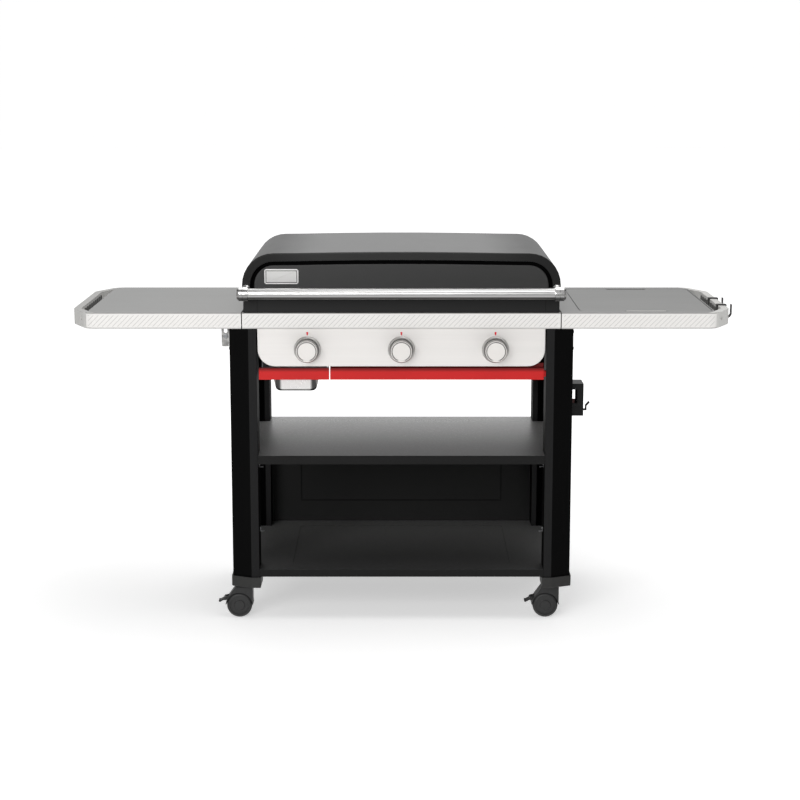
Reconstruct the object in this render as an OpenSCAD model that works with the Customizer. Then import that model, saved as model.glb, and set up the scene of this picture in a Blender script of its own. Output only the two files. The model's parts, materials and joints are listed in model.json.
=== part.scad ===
/* [Cart] */
// Width of the cart over the outer faces of its legs
cart_w = 1000; // [900:1:1300]
// Depth of the cart from the front faces to the rear faces of its legs
cart_d = 598; // [520:1:760]
// Height of the side table tops above the ground
table_z = 923; // [780:1:1100]
// Height of the rails and bands that run round the top
rail_h = 46; // [38:1:60]
// Depth of the front and rear cross rails
rail_d = 20; // [14:1:30]

/* [Legs and feet] */
// Width of a leg's flat front face
leg_face_w = 23; // [15:1:40]
// Width of the slanted face beside it
leg_slant_w = 57; // [30:1:70]
// Depth of the slanted face
leg_slant_d = 25; // [12:1:40]
// Depth of a leg
leg_d = 79; // [60:1:110]
// Width of the lips that stiffen a leg's open side
leg_lip = 16; // [8:1:24]
// Height of a foot cap
foot_h = 32; // [24:1:50]
// How far a foot cap stands out round its leg
foot_over = 4; // [3:0.5:8]
// Thickness of a foot cap's floor
foot_floor = 8; // [6:0.5:14]

/* [Shelves and back] */
// Height of the middle shelf's surface
mid_shelf_z = 502; // [380:1:600]
// Height of the middle shelf's folded edge
mid_shelf_h = 26; // [16:1:40]
// Height of the bottom shelf's surface above the feet's lower faces
low_shelf_up = 56; // [46:1:80]
// Height of the bottom shelf's folded edge
low_shelf_h = 22; // [14:1:24]
// How far the shelves reach out between the front and rear legs
shelf_wing = 40; // [10:1:60]
// Margin from a pressed panel's edge to its pressed field, across the cart
press_margin_x = 95; // [60:1:140]
// Margin from a pressed panel's edge to its pressed field, up or back
press_margin = 68; // [50:1:100]
// Depth of the pressed fields
press_d = 1.2; // [0.6:0.1:2]
// Corner radius of the pressed fields
press_r = 12; // [6:1:30]

/* [Side tables] */
// Length of a side table, from the cook box to its tip
table_w = 500; // [380:1:640]
// Slit between the centre rail and a side table
table_slit = 3; // [2:0.5:6]
// Distance of the slits' middle from the legs' inner faces
slit_out = 41.5; // [36:0.5:60]
// Width of an end cap, tip included
cap_w = 51; // [44:1:70]
// Width of the handle rail at the tip
grip_w = 22; // [18:1:30]
// How far the tip's corner cut reaches in from the tip
corner_x = 52; // [40:1:70]
// How far the tip's corner cut reaches along the depth
corner_y = 100; // [70:1:130]
// Reach of an end cap's corner lug under the band
lug_w = 26; // [16:1:40]

/* [Prep board] */
// Distance of the board from the table's inner end
board_in = 57; // [40:1:120]
// Distance of the board from the table's front and rear edges
board_side = 41; // [34:1:70]
// Thickness of the board
board_t = 13; // [10:0.5:18]
// Corner radius of the board
board_r = 25; // [10:1:40]
// Length of each finger notch
notch_w = 131; // [90:1:160]
// Depth of each finger notch
notch_d = 13; // [8:1:18]
// Gap round the board
board_gap = 1.5; // [1:0.25:3]

/* [Cook box] */
// Gap between the cook box and the middle of each slit
box_gap = 5.5; // [4:0.5:20]
// Height of the cook box's collar above the side tables
collar_h = 54; // [44:1:70]
// Distance from the front plane to the collar
box_y = 3; // [2:0.5:8]
// Gap between the burner tub below the collar and the legs' inner faces
tub_gap = 12; // [6:1:40]
// Distance from the front plane to the burner tub
tub_y = 86; // [80:1:110]
// Depth of the burner tub below the side tables
tub_drop = 123; // [110:1:140]
// Thickness of the griddle plate
griddle_t = 5; // [3:0.5:8]
// Depth of the griddle plate's surface below the collar's rim
griddle_drop = 32; // [24:1:40]

/* [Lid] */
// How far the lid's sides stand out past the cook box
lid_over = 3; // [0:0.5:4]
// Height of the lid's sides, from the collar's rim
lid_h = 117; // [95:1:180]
// Rise of the lid's top across its middle
lid_crown = 5; // [1:0.5:12]
// Radius of the lid's upper corners
lid_r = 92; // [50:1:94]
// Slit between the collar and the lid
lid_slit = 3; // [2:0.5:6]
// Width of the lid's front border
border_w = 24; // [16:1:36]
// Width of the groove round the lid's front panel
groove_w = 11; // [6:1:18]
// Depth of that groove
groove_d = 14; // [8:1:20]
// Distance of the lid's hinges from its sides
hinge_in = 79; // [60:1:140]
// Radius of the lid's hinge knuckles
hinge_r = 8; // [6:0.5:12]

/* [Handle] */
// Diameter of the handle tube
handle_dia = 32; // [24:1:40]
// Distance from the lid's front to the tube's middle
handle_reach = 55; // [48:1:80]
// Diameter of the handle's end pieces
end_dia = 41; // [34:1:48]
// Length of each end piece
end_l = 32; // [26:1:44]
// How far the end pieces stand out past the lid's sides
end_out = 10; // [4:1:16]

/* [Controls] */
// Distance between neighbouring knobs
knob_pitch = 272.5; // [200:0.5:290]
// Height of the control panel
panel_h = 111; // [95:1:125]
// Radius of the panel's lower corners
panel_r = 50; // [20:1:56]
// Set-back of the panel from the front plane
panel_y = 6; // [3:1:12]
// Height of the knobs' middles above the panel's lower edge
knob_up = 50; // [44:1:60]
// Diameter of a knob
knob_dia = 63; // [48:1:72]
// How far a knob stands out from the panel
knob_out = 45; // [32:1:56]
// Width of the ring round a knob
bezel_w = 6; // [4:0.5:10]
// How far the ring stands out from the panel
bezel_out = 13; // [6:1:18]
// Travel of a knob when it is pressed in
press = 4; // [2:0.5:5]
// Diameter of a valve stem
stem_dia = 8; // [6:0.5:10]

/* [Grease drawer] */
// Height of the red lower bar
bar_h = 34; // [24:1:46]
// Gap between the control panel and the lower bar
bar_gap = 5; // [3:0.5:10]
// Width of the grease drawer's front
drawer_w = 204; // [170:1:260]
// Depth of the grease tray
tray_d = 330; // [240:1:420]
// Width of the drip cup at its top
cup_w = 132; // [90:1:140]
// Depth of the drip cup, front to back
cup_d = 96; // [70:1:130]
// How far the drip cup hangs below the tray
cup_h = 37; // [28:1:60]
// How much each side of the cup slopes in
cup_taper = 7; // [2:0.5:12]
// Distance of the cup from the drawer's middle, to the right
cup_off = 4.5; // [0:0.5:20]

/* [Gas train] */
// Radius of the manifold pipe
manifold_r = 9; // [7:0.5:11]
// Distance of the manifold from the front plane
manifold_y = 64; // [60:1:68]
// Radius of the gas inlet's flare fitting
inlet_r = 7.94; // [6:0.01:9]
// Length of that fitting
inlet_l = 16; // [12:1:24]
// Radius of a burner tube
burner_r = 18; // [14:1:22]

/* [Tank scale] */
// Width of the scale housing, out from the leg
scale_w = 53; // [44:1:70]
// Depth of the scale housing
scale_d = 75; // [60:1:100]
// Height of the scale housing
scale_h = 99; // [90:1:130]
// Height of the housing's lower edge above the middle shelf
scale_up = 74; // [40:1:110]
// Distance of the housing from the front plane
scale_y = 230; // [120:1:300]
// Travel of the tank hook under a full tank
hook_travel = 8; // [4:1:9]
// Travel of the level marker over the same load
marker_travel = 28; // [20:1:29]
// Thickness of the tank hook's bar
hook_t = 4; // [3:0.5:6]

/* [Casters] */
// Diameter of a caster wheel
wheel_dia = 75; // [60:1:100]
// Width of one wheel of a pair
wheel_w = 17.5; // [12:0.5:24]
// Height from the ground to a foot cap
caster_h = 101; // [94:1:130]
// Distance from a caster's stem to its axle
caster_trail = 27; // [18:1:36]
// Diameter of a caster's stem
caster_stem_dia = 10; // [8:0.5:14]
// Distance of a stem from its leg's inner face
stem_in = 37; // [30:1:50]
// Distance of a stem from its leg's outer end
stem_y = 52; // [42:1:58]

/* [Sheet and fits] */
// Thickness of the sheet metal
sheet_t = 2; // [1:0.25:3]
// Gap between a moving piece and what it passes
move_gap = 0.5; // [0.3:0.1:1]
// Radial clearance of a shaft in its bore
run_fit = 0.08; // [0.02:0.01:0.1]

/* [Hidden] */

$fn = 64;
arc_n = 8;                                   // points along a rounded corner
inner_x = cart_w / 2 - leg_face_w - leg_slant_w;   // a leg's inner face
outer_x = cart_w / 2;
rail_z = table_z - rail_h;
hinge_y = cart_d + 2;
hinge_back = hinge_y + hinge_r;              // rearmost point
front_y = (handle_reach + end_dia / 2 - hinge_back) / 2;   // front plane, box centred in depth

slit_x = inner_x + slit_out;                 // middle of the slit beside a side table
box_half = slit_x - box_gap;
tub_half = inner_x - tub_gap;
lid_half = box_half + lid_over;
table_x0 = slit_x + table_slit / 2;
tip_x = table_x0 + table_w;
cap_x = tip_x - cap_w;
seam = 0.4;                                  // joint between a table's fixed pieces
end_r = 40;                                  // rounding where a band meets its corner cut
tip_r = 60;                                  // rounding where the corner cut meets the grip

rim_z = table_z + 1 + collar_h;              // top of the collar
box_back = cart_d - 8;
lid_z = rim_z + lid_slit;
lid_top = rim_z + lid_h;
handle_z = lid_z + 4.5;

panel_half = inner_x - 3;
panel_z = rail_z - panel_h;
knob_z = panel_z + knob_up;
bar_top = panel_z - bar_gap;
bar_z = bar_top - bar_h;
bar_half = inner_x - 6;
bar_y = 4;
split_x = -bar_half + drawer_w;              // right end of the drawer front
tub_z = table_z - tub_drop;
KNOB_X = [-knob_pitch, 0, knob_pitch];

mid_z0 = mid_shelf_z - mid_shelf_h;
low_z = caster_h + low_shelf_up;
foot_top = caster_h + foot_h;
scale_z = mid_shelf_z + scale_up;
stem_x = inner_x + stem_in;

// ---- helpers -------------------------------------------------------------

function unit(v) = v / norm(v);
function left_of(d) = [-d[1], d[0]];
function turned(v, a) = [v[0] * cos(a) - v[1] * sin(a), v[0] * sin(a) + v[1] * cos(a)];
function side_dir(p, i) = unit(p[(i + 1) % len(p)] - p[i]);

// A convex anticlockwise outline drawn in by d.
function inset(p, d) = [for (i = [0 : len(p) - 1])
    let (a = left_of(side_dir(p, (i + len(p) - 1) % len(p))), b = left_of(side_dir(p, i)))
    p[i] + d * (a + b) / (1 + a * b)];

// An anticlockwise outline with a radius at each point.
function rounded(p, r) = [for (i = [0 : len(p) - 1])
    let (d0 = side_dir(p, (i + len(p) - 1) % len(p)), d1 = side_dir(p, i),
         a = atan2(d0[0] * d1[1] - d0[1] * d1[0], d0 * d1),
         s = sign(a), c = p[i] - d0 * r[i] * tan(abs(a) / 2) + s * r[i] * left_of(d0))
    each (r[i] <= 0 ? [p[i]]
        : [for (k = [0 : arc_n]) c - s * r[i] * turned(left_of(d0), a * k / arc_n)])];

module from_front() { translate([0, front_y, 0]) children(); }
module both() { children(); mirror([1, 0, 0]) children(); }
module block(x, y, z) {
    translate([x[0], y[0], z[0]]) cube([x[1] - x[0], y[1] - y[0], z[1] - z[0]]);
}
module along_x(x0, x1) { translate([x0, 0, 0]) rotate([90, 0, 90]) linear_extrude(x1 - x0) children(); }
module along_y(y0, y1) { translate([0, y1, 0]) rotate([90, 0, 0]) linear_extrude(y1 - y0) children(); }
module along_z(z0, z1) { translate([0, 0, z0]) linear_extrude(z1 - z0) children(); }
module rod_x(r, x0, x1) { translate([x0, 0, 0]) rotate([0, 90, 0]) cylinder(r = r, h = x1 - x0); }
module rod_y(r, y0, y1) { translate([0, y1, 0]) rotate([90, 0, 0]) cylinder(r = r, h = y1 - y0); }
module rod_z(r, z0, z1) { translate([0, 0, z0]) cylinder(r = r, h = z1 - z0); }
module round_box2(a, b, r) {
    polygon(rounded([a, [b[0], a[1]], b, [a[0], b[1]]], [r, r, r, r]));
}
// A bent strip of even thickness along a line of points.
module strip(p, t) {
    for (i = [0 : len(p) - 2]) {
        n = left_of(unit(p[i + 1] - p[i])) * t / 2;
        polygon([p[i] - n, p[i + 1] - n, p[i + 1] + n, p[i] + n]);
    }
    for (i = [1 : len(p) - 2]) translate(p[i]) circle(r = t / 2, $fn = 24);
}
// Puts a front right piece at each named corner.
module at_corner(right, front) {
    translate([0, front ? 0 : cart_d, 0]) mirror([0, front ? 0 : 1, 0])
        mirror([right ? 0 : 1, 0, 0]) children();
}

// ---- legs and feet -------------------------------------------------------

leg_outline = [[inner_x, 0], [inner_x + leg_face_w, 0], [outer_x, leg_slant_d],
               [outer_x, leg_d], [inner_x, leg_d]];

module leg(right, front) {
    mouth = [[inner_x + leg_lip, leg_d], [outer_x - leg_lip, leg_d]];
    color([0.08, 0.08, 0.085]) from_front() at_corner(right, front)
        along_z(caster_h + foot_floor, rail_z) difference() {
            polygon(leg_outline);
            polygon(inset(leg_outline, sheet_t));
            translate([mouth[0][0], leg_d - 2 * sheet_t])
                square([mouth[1][0] - mouth[0][0], 3 * sheet_t]);
        }
}
module leg_front_left() { leg(false, true); }
module leg_front_right() { leg(true, true); }
module leg_rear_left() { leg(false, false); }
module leg_rear_right() { leg(true, false); }

module foot_caps() {
    core = inset(leg_outline, sheet_t + seam);
    color([0.2, 0.2, 0.19]) from_front() for (right = [false, true], front = [false, true])
        at_corner(right, front) difference() {
            along_z(caster_h, foot_top) polygon(inset(leg_outline, -foot_over));
            along_z(caster_h + foot_floor, foot_top + 1) difference() {
                polygon(inset(leg_outline, -seam));
                polygon(core);
            }
            along_z(caster_h + 2 * foot_floor, foot_top + 1) polygon(inset(core, sheet_t));
            translate([stem_x, stem_y, 0])
                rod_z(caster_stem_dia / 2, caster_h - 1, caster_h + foot_floor + 1);
        }
}

module caster_stems() {
    washer_h = 3;
    color([0.55, 0.56, 0.57]) from_front() for (right = [false, true], front = [false, true])
        at_corner(right, front) translate([stem_x, stem_y, 0]) {
            rod_z(caster_stem_dia / 2, caster_h - stem_hang, caster_h + foot_floor);
            rod_z(caster_stem_dia / 2 + 4, caster_h - washer_h, caster_h);
        }
}

// ---- cart ----------------------------------------------------------------

module side_rails() {
    tie_h = 56;
    tie_w = 28;
    bar_low = scale_z + 12;
    bar_high = scale_z + scale_h - 12;
    color([0.06, 0.06, 0.065]) from_front() {
        both() channel([outer_x - sheet_t - tie_w, outer_x - sheet_t], [rail_z - tie_h, rail_z]);
        channel([outer_x - sheet_t - tie_w, outer_x], [bar_low, bar_high]);
    }
}
// A bar between a front and a rear leg, folded open towards the cart's middle.
module channel(x, z) {
    difference() {
        block(x, [leg_d, cart_d - leg_d], z);
        block([x[0] - 1, x[1] - sheet_t], [leg_d + sheet_t, cart_d - leg_d - sheet_t],
              [z[0] + sheet_t, z[1] - sheet_t]);
    }
}

// A shelf folded from sheet, wider between the legs than beside them.
module shelf(top, h, depth) {
    difference() {
        along_z(top - h, top) shelf_area(depth, 0);
        along_z(top - h - 1, top - sheet_t) shelf_area(depth, sheet_t);
    }
}
// A shelf's outline, drawn in by d.
module shelf_area(depth, d) {
    wing_y = [leg_d + seam, cart_d - leg_d - seam];
    translate([-inner_x + d, d]) square([2 * (inner_x - d), depth - 2 * d]);
    translate([-inner_x - shelf_wing + d, wing_y[0] + d])
        square([2 * (inner_x + shelf_wing - d), wing_y[1] - wing_y[0] - 2 * d]);
}
module middle_shelf() {
    color([0.3, 0.3, 0.3]) from_front() shelf(mid_shelf_z, mid_shelf_h, cart_d);
}
module bottom_shelf() {
    depth = cart_d - 10;
    half = inner_x - press_margin_x;
    color([0.16, 0.16, 0.16]) from_front() difference() {
        shelf(low_z, low_shelf_h, depth);
        along_z(low_z - press_d, low_z + 1)
            round_box2([-half, press_margin], [half, depth - press_margin], press_r);
    }
}
module back_panel() {
    panel_d = 8;
    z = [low_z - low_shelf_h, mid_z0];
    color([0.1, 0.1, 0.1]) from_front() difference() {
        block([-inner_x, inner_x], [cart_d - panel_d, cart_d], z);
        block([-inner_x + sheet_t, inner_x - sheet_t], [cart_d - panel_d + sheet_t, cart_d + 1],
              [z[0] + sheet_t, z[1] - sheet_t]);
        along_y(cart_d - panel_d - 1, cart_d - panel_d + press_d)
            round_box2([-inner_x + press_margin_x, low_z + press_margin],
                       [inner_x - press_margin_x, z[1] - press_margin], press_r);
    }
}

module cross_rail() {
    half = slit_x - table_slit / 2;
    difference() {
        block([-half, half], [0, rail_d], [rail_z, table_z]);
        block([-half + sheet_t, half - sheet_t], [sheet_t, rail_d + 1],
              [rail_z + sheet_t, table_z - sheet_t]);
    }
}
module front_rail() { color([0.93, 0.92, 0.9]) from_front() cross_rail(); }
module rear_rail() {
    color([0.1, 0.1, 0.1]) from_front() translate([0, cart_d, 0]) mirror([0, 1, 0]) cross_rail();
}

// ---- controls ------------------------------------------------------------

panel_fold = 14;
module control_panel() {
    outline = rounded([[-panel_half, panel_z], [panel_half, panel_z], [panel_half, rail_z],
                       [-panel_half, rail_z]], [panel_r, panel_r, 0, 0]);
    color([0.9, 0.89, 0.88]) from_front() difference() {
        along_y(panel_y, panel_y + panel_fold) polygon(outline);
        along_y(panel_y + sheet_t, panel_y + panel_fold + 1) polygon(inset(outline, sheet_t));
        for (x = KNOB_X) translate([x, 0, knob_z])
            rod_y(stem_dia, panel_y - 1, panel_y + panel_fold);
    }
}
module knob_bezels() {
    r = knob_dia / 2 + 1.5;
    edge = 3;
    color([0.75, 0.74, 0.72]) from_front() for (x = KNOB_X) translate([x, panel_y, knob_z])
        rotate([90, 0, 0]) rotate_extrude($fn = 96)
            polygon([[r, 0], [r + bezel_w, 0], [r + bezel_w, bezel_out - edge],
                     [r + bezel_w - edge, bezel_out], [r, bezel_out]]);
}
module knob(x) {
    r = knob_dia / 2;
    back = press + 1.5;                      // room behind the knob for its travel
    edge = 2.5;
    hub_r = stem_dia / 2 + run_fit;
    socket = 22;
    color([0.93, 0.92, 0.9]) from_front() translate([x, panel_y, knob_z]) rotate([90, 0, 0])
        difference() {
            rotate_extrude($fn = 96)
                polygon([[0, back], [r, back], [r, knob_out - edge], [r - edge, knob_out], [0, knob_out]]);
            translate([0, 0, back - 1]) difference() {
                cylinder(r = r - 3, h = knob_out - back - 5);
                cylinder(r = stem_dia / 2 + 5, h = knob_out);
            }
            translate([0, 0, back - 1]) cylinder(r = hub_r, h = socket + 1);
        }
}
module knob_left() { knob(KNOB_X[0]); }
module knob_middle() { knob(KNOB_X[1]); }
module knob_right() { knob(KNOB_X[2]); }

valve_front = 30;                            // front face of a valve's body
valve_tail = 16;                             // length of stem inside the valve
stem_tip = panel_y - 20;                     // front end of a stem, inside its knob
module valve_stem(x) {
    color([0.7, 0.6, 0.35]) from_front() translate([x, 0, knob_z])
        rod_y(stem_dia / 2, stem_tip, valve_front + valve_tail);
}
module valve_stem_left() { valve_stem(KNOB_X[0]); }
module valve_stem_middle() { valve_stem(KNOB_X[1]); }
module valve_stem_right() { valve_stem(KNOB_X[2]); }

// ---- gas train -----------------------------------------------------------

burner_z = tub_z + 60;
spud_l = 8;                                  // the jet that points into a burner
manifold_front = manifold_y - manifold_r;
module gas_valves() {
    body_w = 26;
    color([0.7, 0.58, 0.3]) from_front() for (x = KNOB_X) translate([x, 0, 0]) {
        difference() {
            union() {
                block([-body_w / 2, body_w / 2], [valve_front, manifold_front + 1],
                      [knob_z - 14, burner_z + 10]);
                translate([0, 0, knob_z]) rod_y(11, valve_front - 8, valve_front + 1);
                translate([0, 0, burner_z]) rod_y(7, manifold_front, manifold_front + spud_l);
            }
            translate([0, 0, knob_z]) {
                rod_y(stem_dia / 2 + run_fit, valve_front - 9, valve_front + valve_tail + 0.5);
                translate([0, manifold_y, 0]) rod_x(manifold_r, -body_w, body_w);
            }
        }
    }
}
inlet_x = bar_half - 30;
module gas_manifold() {
    nut_h = 12;
    color([0.6, 0.6, 0.6]) from_front() translate([0, manifold_y, knob_z]) {
        rod_x(manifold_r, -knob_pitch - 24, inlet_x + manifold_r);
        translate([inlet_x, 0, 0]) {
            rod_z(manifold_r, -manifold_r - nut_h, 0);
            rod_z(inlet_r, -manifold_r - nut_h - inlet_l, -manifold_r - nut_h);
            translate([0, 0, -manifold_r - nut_h]) cylinder(r = manifold_r + 2, h = nut_h - 3, $fn = 6);
        }
    }
}
module burners() {
    neck_r = 13;
    wall = 2;
    tub_back = cart_d - tub_y - 1.5 * sheet_t;
    tip = tub_back - 40;
    color([0.6, 0.6, 0.6]) from_front() for (x = KNOB_X) translate([x, 0, burner_z]) {
        difference() {
            union() {
                rod_y(neck_r, manifold_front + spud_l, tub_y + 30);
                rod_y(burner_r, tub_y + 30, tip);
                rod_y(4, tip, tub_back);
            }
            rod_y(neck_r - wall, manifold_front + spud_l - 1, tub_y + 31 + wall);
            rod_y(burner_r - wall, tub_y + 30 + wall, tip - wall);
        }
    }
}

// ---- cook box ------------------------------------------------------------

drain_x = -inner_x + 46;                     // left end of the grease slot
drain_w = 50;
drain_y = 27;
drain_d = 22;
module cook_box() {
    half = box_half;
    tub = tub_half;
    ledge = table_z + 1;
    wall = 1.5 * sheet_t;
    vent_w = 60;
    color([0.1, 0.1, 0.1]) from_front() difference() {
        union() {
            block([-half, half], [box_y, box_back], [ledge, rim_z]);
            block([-tub, tub], [tub_y, cart_d - tub_y], [tub_z, ledge + 1]);
        }
        block([-half + wall, half - wall], [box_y + wall, box_back - wall], [ledge + wall, rim_z + 1]);
        block([-tub + wall, tub - wall], [tub_y + wall, cart_d - tub_y - wall], [tub_z + wall, rim_z]);
        block([drain_x - 2, drain_x + drain_w + 2], [drain_y - 2, drain_y + drain_d + 2],
              [ledge - 1, rim_z]);
        for (x = KNOB_X) translate([x, 0, burner_z]) rod_y(14, tub_y - 1, tub_y + wall + 1);
        for (x = [-1, 1], k = [0 : 3]) translate([x * (tub - 90) - vent_w / 2, tub_y + 90 + 70 * k, 0])
            block([0, vent_w], [0, 12], [tub_z - 1, tub_z + wall + 1]);
    }
}
module griddle_plate() {
    gap = 3;
    wall = griddle_t;
    half = box_half - 1.5 * sheet_t - gap;
    y = [box_y + 1.5 * sheet_t + gap, box_back - 1.5 * sheet_t - gap];
    surface = rim_z - griddle_drop;
    spout_z = bar_top + 2;
    color([0.12, 0.12, 0.12]) from_front() difference() {
        union() {
            block([-half, half], y, [surface - griddle_t, rim_z - 4]);
            block([drain_x, drain_x + drain_w], [drain_y, drain_y + drain_d], [spout_z, surface]);
            for (x = [-1, 1], v = [y[0] + 60, y[1] - 60])
                translate([x * (half - 40), v, 0]) rod_z(9, table_z + 1 + 1.5 * sheet_t, surface);
        }
        block([-half + wall, half - wall], [y[0] + wall, y[1] - wall], [surface, rim_z]);
        block([drain_x + sheet_t, drain_x + drain_w - sheet_t],
              [drain_y + sheet_t, drain_y + drain_d - sheet_t], [spout_z - 1, rim_z]);
    }
}

// ---- lower bar and grease drawer -------------------------------------------

module bar_shape(x0, x1) {
    difference() {
        block([x0, x1], [bar_y, bar_y + 16], [bar_z, bar_top]);
        block([x0 + sheet_t, x1 - sheet_t], [bar_y + sheet_t, bar_y + 17],
              [bar_z + sheet_t, bar_top - sheet_t]);
    }
}
bar_slit = 3;
module lower_bar() {
    tab = inner_x - bar_half;
    x = [split_x + bar_slit, bar_half];
    // an upstand behind the control panel closes the gap below it
    upstand_y = panel_y + panel_fold + seam;
    upstand_h = 8;
    color([0.8, 0.16, 0.15]) from_front() {
        bar_shape(x[0], x[1]);
        block(x, [bar_y + 8, upstand_y + sheet_t], [bar_top - sheet_t, bar_top]);
        block(x, [upstand_y, upstand_y + sheet_t], [bar_top - sheet_t, panel_z + upstand_h]);
        block([bar_half - 1, bar_half + tab], [bar_y + 4, bar_y + 16], [bar_z + 8, bar_top - 8]);
    }
}
tray_x0 = -bar_half + 10;
tray_x1 = split_x - 10;
tray_top = bar_top - 3;
tray_floor = bar_z + 3;
cup_x = (tray_x0 + tray_x1) / 2 + cup_off;
cup_y = bar_y + 10;
module drawer_front() {
    color([0.8, 0.16, 0.15]) from_front() difference() {
        bar_shape(-bar_half, split_x);
        // room for the drip cup's rim
        block([cup_x - cup_w / 2 - 1, cup_x + cup_w / 2 + 1], [cup_y - 1, bar_y + 17],
              [bar_z - 1, bar_z + sheet_t + 1]);
    }
}
module grease_tray() {
    y = [bar_y + 16, bar_y + 16 + tray_d];
    color([0.7, 0.7, 0.7]) from_front() difference() {
        block([tray_x0, tray_x1], y, [tray_floor, tray_top]);
        block([tray_x0 + sheet_t, tray_x1 - sheet_t], [y[0] + sheet_t, y[1] - sheet_t],
              [tray_floor + sheet_t, tray_top + 1]);
        // the mouth over the drip cup
        block([cup_x - cup_w / 2 + 12, cup_x + cup_w / 2 - 12], [y[0] + 8, cup_y + cup_d - 10],
              [tray_floor - 1, tray_floor + sheet_t + 1]);
    }
}
module drip_cup() {
    // a tapered cup: four sloped walls and a flat floor
    h = tray_floor - (bar_z - cup_h);
    outer = [[-cup_w / 2, 0], [-cup_w / 2 + cup_taper, -h], [cup_w / 2 - cup_taper, -h], [cup_w / 2, 0]];
    side = [[0, 0], [cup_taper, -h], [cup_d - cup_taper, -h], [cup_d, 0]];
    r = 12;
    color([0.75, 0.75, 0.74]) from_front() translate([cup_x, cup_y, tray_floor]) difference() {
        cup_body(outer, side, r, 0);
        cup_body(outer, side, r, sheet_t / 2);
    }
}
// The cup's outer or inner form: one outline across and one along, each drawn in by d.
module cup_body(outer, side, r, d) {
    lift = d > 0 ? 1 : 0;
    intersection() {
        along_y(-1, cup_d + 1) polygon(rounded(opened(inset(outer, d), lift), [0, r - d, r - d, 0]));
        along_x(-cup_w, cup_w) polygon(rounded(opened(inset(side, d), lift), [0, r - d, r - d, 0]));
    }
}
// Moves an outline's open upper end past the rim.
function opened(p, up) = [for (q = p) [q[0], q[1] > -2 ? up : q[1]]];

module drawer_runners() {
    web = 1.5;
    y = [bar_y + 24, bar_y + 16 + tray_d];
    color([0.35, 0.35, 0.35]) from_front() for (s = [0, 1])
        translate([s == 0 ? tray_x0 : tray_x1, 0, 0]) mirror([s, 0, 0]) translate([-move_gap, 0, 0])
            along_y(y[0], y[1]) polygon([
                [-web, tray_floor - move_gap - web], [8, tray_floor - move_gap - web],
                [8, tray_floor - move_gap], [0, tray_floor - move_gap],
                [0, tub_z - web], [12, tub_z - web], [12, tub_z], [-web, tub_z]]);
}

// ---- side tables -----------------------------------------------------------

// A right table's outline, drawn in by d everywhere but at its inner end.
function table_outline(d) = let (x0 = table_x0 - d)
    rounded(inset([[x0, 0], [tip_x - corner_x, 0], [tip_x, corner_y], [tip_x, cart_d - corner_y],
                   [tip_x - corner_x, cart_d], [x0, cart_d]], d),
            [0, end_r - d, tip_r - d, tip_r - d, end_r - d, 0]);

// The area between the cook box and a line far out, with its corners cut back for the cap's lugs.
module cut_back(far) {
    y = [sheet_t + seam + 1, lug_w * 1.6];
    polygon([[table_x0, -1], [far - lug_w, -1], [far - lug_w, y[0]], [far, y[1]],
             [far, cart_d - y[1]], [far - lug_w, cart_d - y[0]],
             [far - lug_w, cart_d + 1], [table_x0, cart_d + 1]]);
}
module surface_area() {
    intersection() {
        polygon(table_outline(sheet_t + seam));
        cut_back(cap_x - seam);
    }
}
module table_bands() {
    flange = 18;
    for (s = [0, 1]) translate([0, s * cart_d, 0]) mirror([0, s, 0])
        intersection() {
            union() {
                along_z(rail_z, table_z) difference() {
                    polygon(table_outline(0));
                    polygon(table_outline(sheet_t));
                }
                along_z(rail_z, rail_z + sheet_t) intersection() {
                    polygon(table_outline(0));
                    translate([table_x0, -1]) square([cap_x - lug_w - seam - 1 - table_x0, flange + 1]);
                }
            }
            block([table_x0, cap_x - seam], [-1, corner_y], [rail_z - 1, table_z + 1]);
        }
}
module end_cap() {
    recess_r = 5;
    recess_x = corner_x / 2 + 6;             // from the tip
    face_y = corner_y * (1 - recess_x / corner_x);
    difference() {
        along_z(rail_z, table_z) difference() {
            union() {
                intersection() {
                    polygon(table_outline(0));
                    translate([cap_x, -1]) square([cap_w + 1, cart_d + 2]);
                }
                intersection() {
                    polygon(table_outline(sheet_t + seam));
                    translate([cap_x - lug_w, -1]) square([lug_w + 1, cart_d + 2]);
                }
            }
            cut_back(cap_x);
            intersection() {
                polygon(table_outline(grip_w));
                translate([cap_x, 0]) square([cap_w, cart_d]);
            }
        }
        // a screw's recess in the slanted front corner
        translate([tip_x - recess_x, 0, (table_z + rail_z) / 2 + 3])
            rod_y(recess_r, -1, face_y + 7);
    }
}
// The sheet's own edge folds: one along the cook box and one beside the handle slot.
module table_folds() {
    fold_h = 24;
    for (x = [table_x0, cap_x - seam - sheet_t])
        block([x, x + sheet_t], [rail_d + 26, cart_d - rail_d - 26], [table_z - fold_h, table_z - sheet_t]);
}
module left_table_top() {
    color([0.6, 0.6, 0.59]) from_front() mirror([1, 0, 0]) {
        along_z(table_z - sheet_t, table_z) surface_area();
        table_folds();
    }
}
module left_table_bands() { color([0.94, 0.93, 0.91]) from_front() mirror([1, 0, 0]) table_bands(); }
module left_end_cap() { color([0.8, 0.8, 0.79]) from_front() mirror([1, 0, 0]) end_cap(); }
module right_table_bands() { color([0.87, 0.86, 0.85]) from_front() table_bands(); }
module right_end_cap() { color([0.76, 0.75, 0.74]) from_front() end_cap(); }

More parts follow.
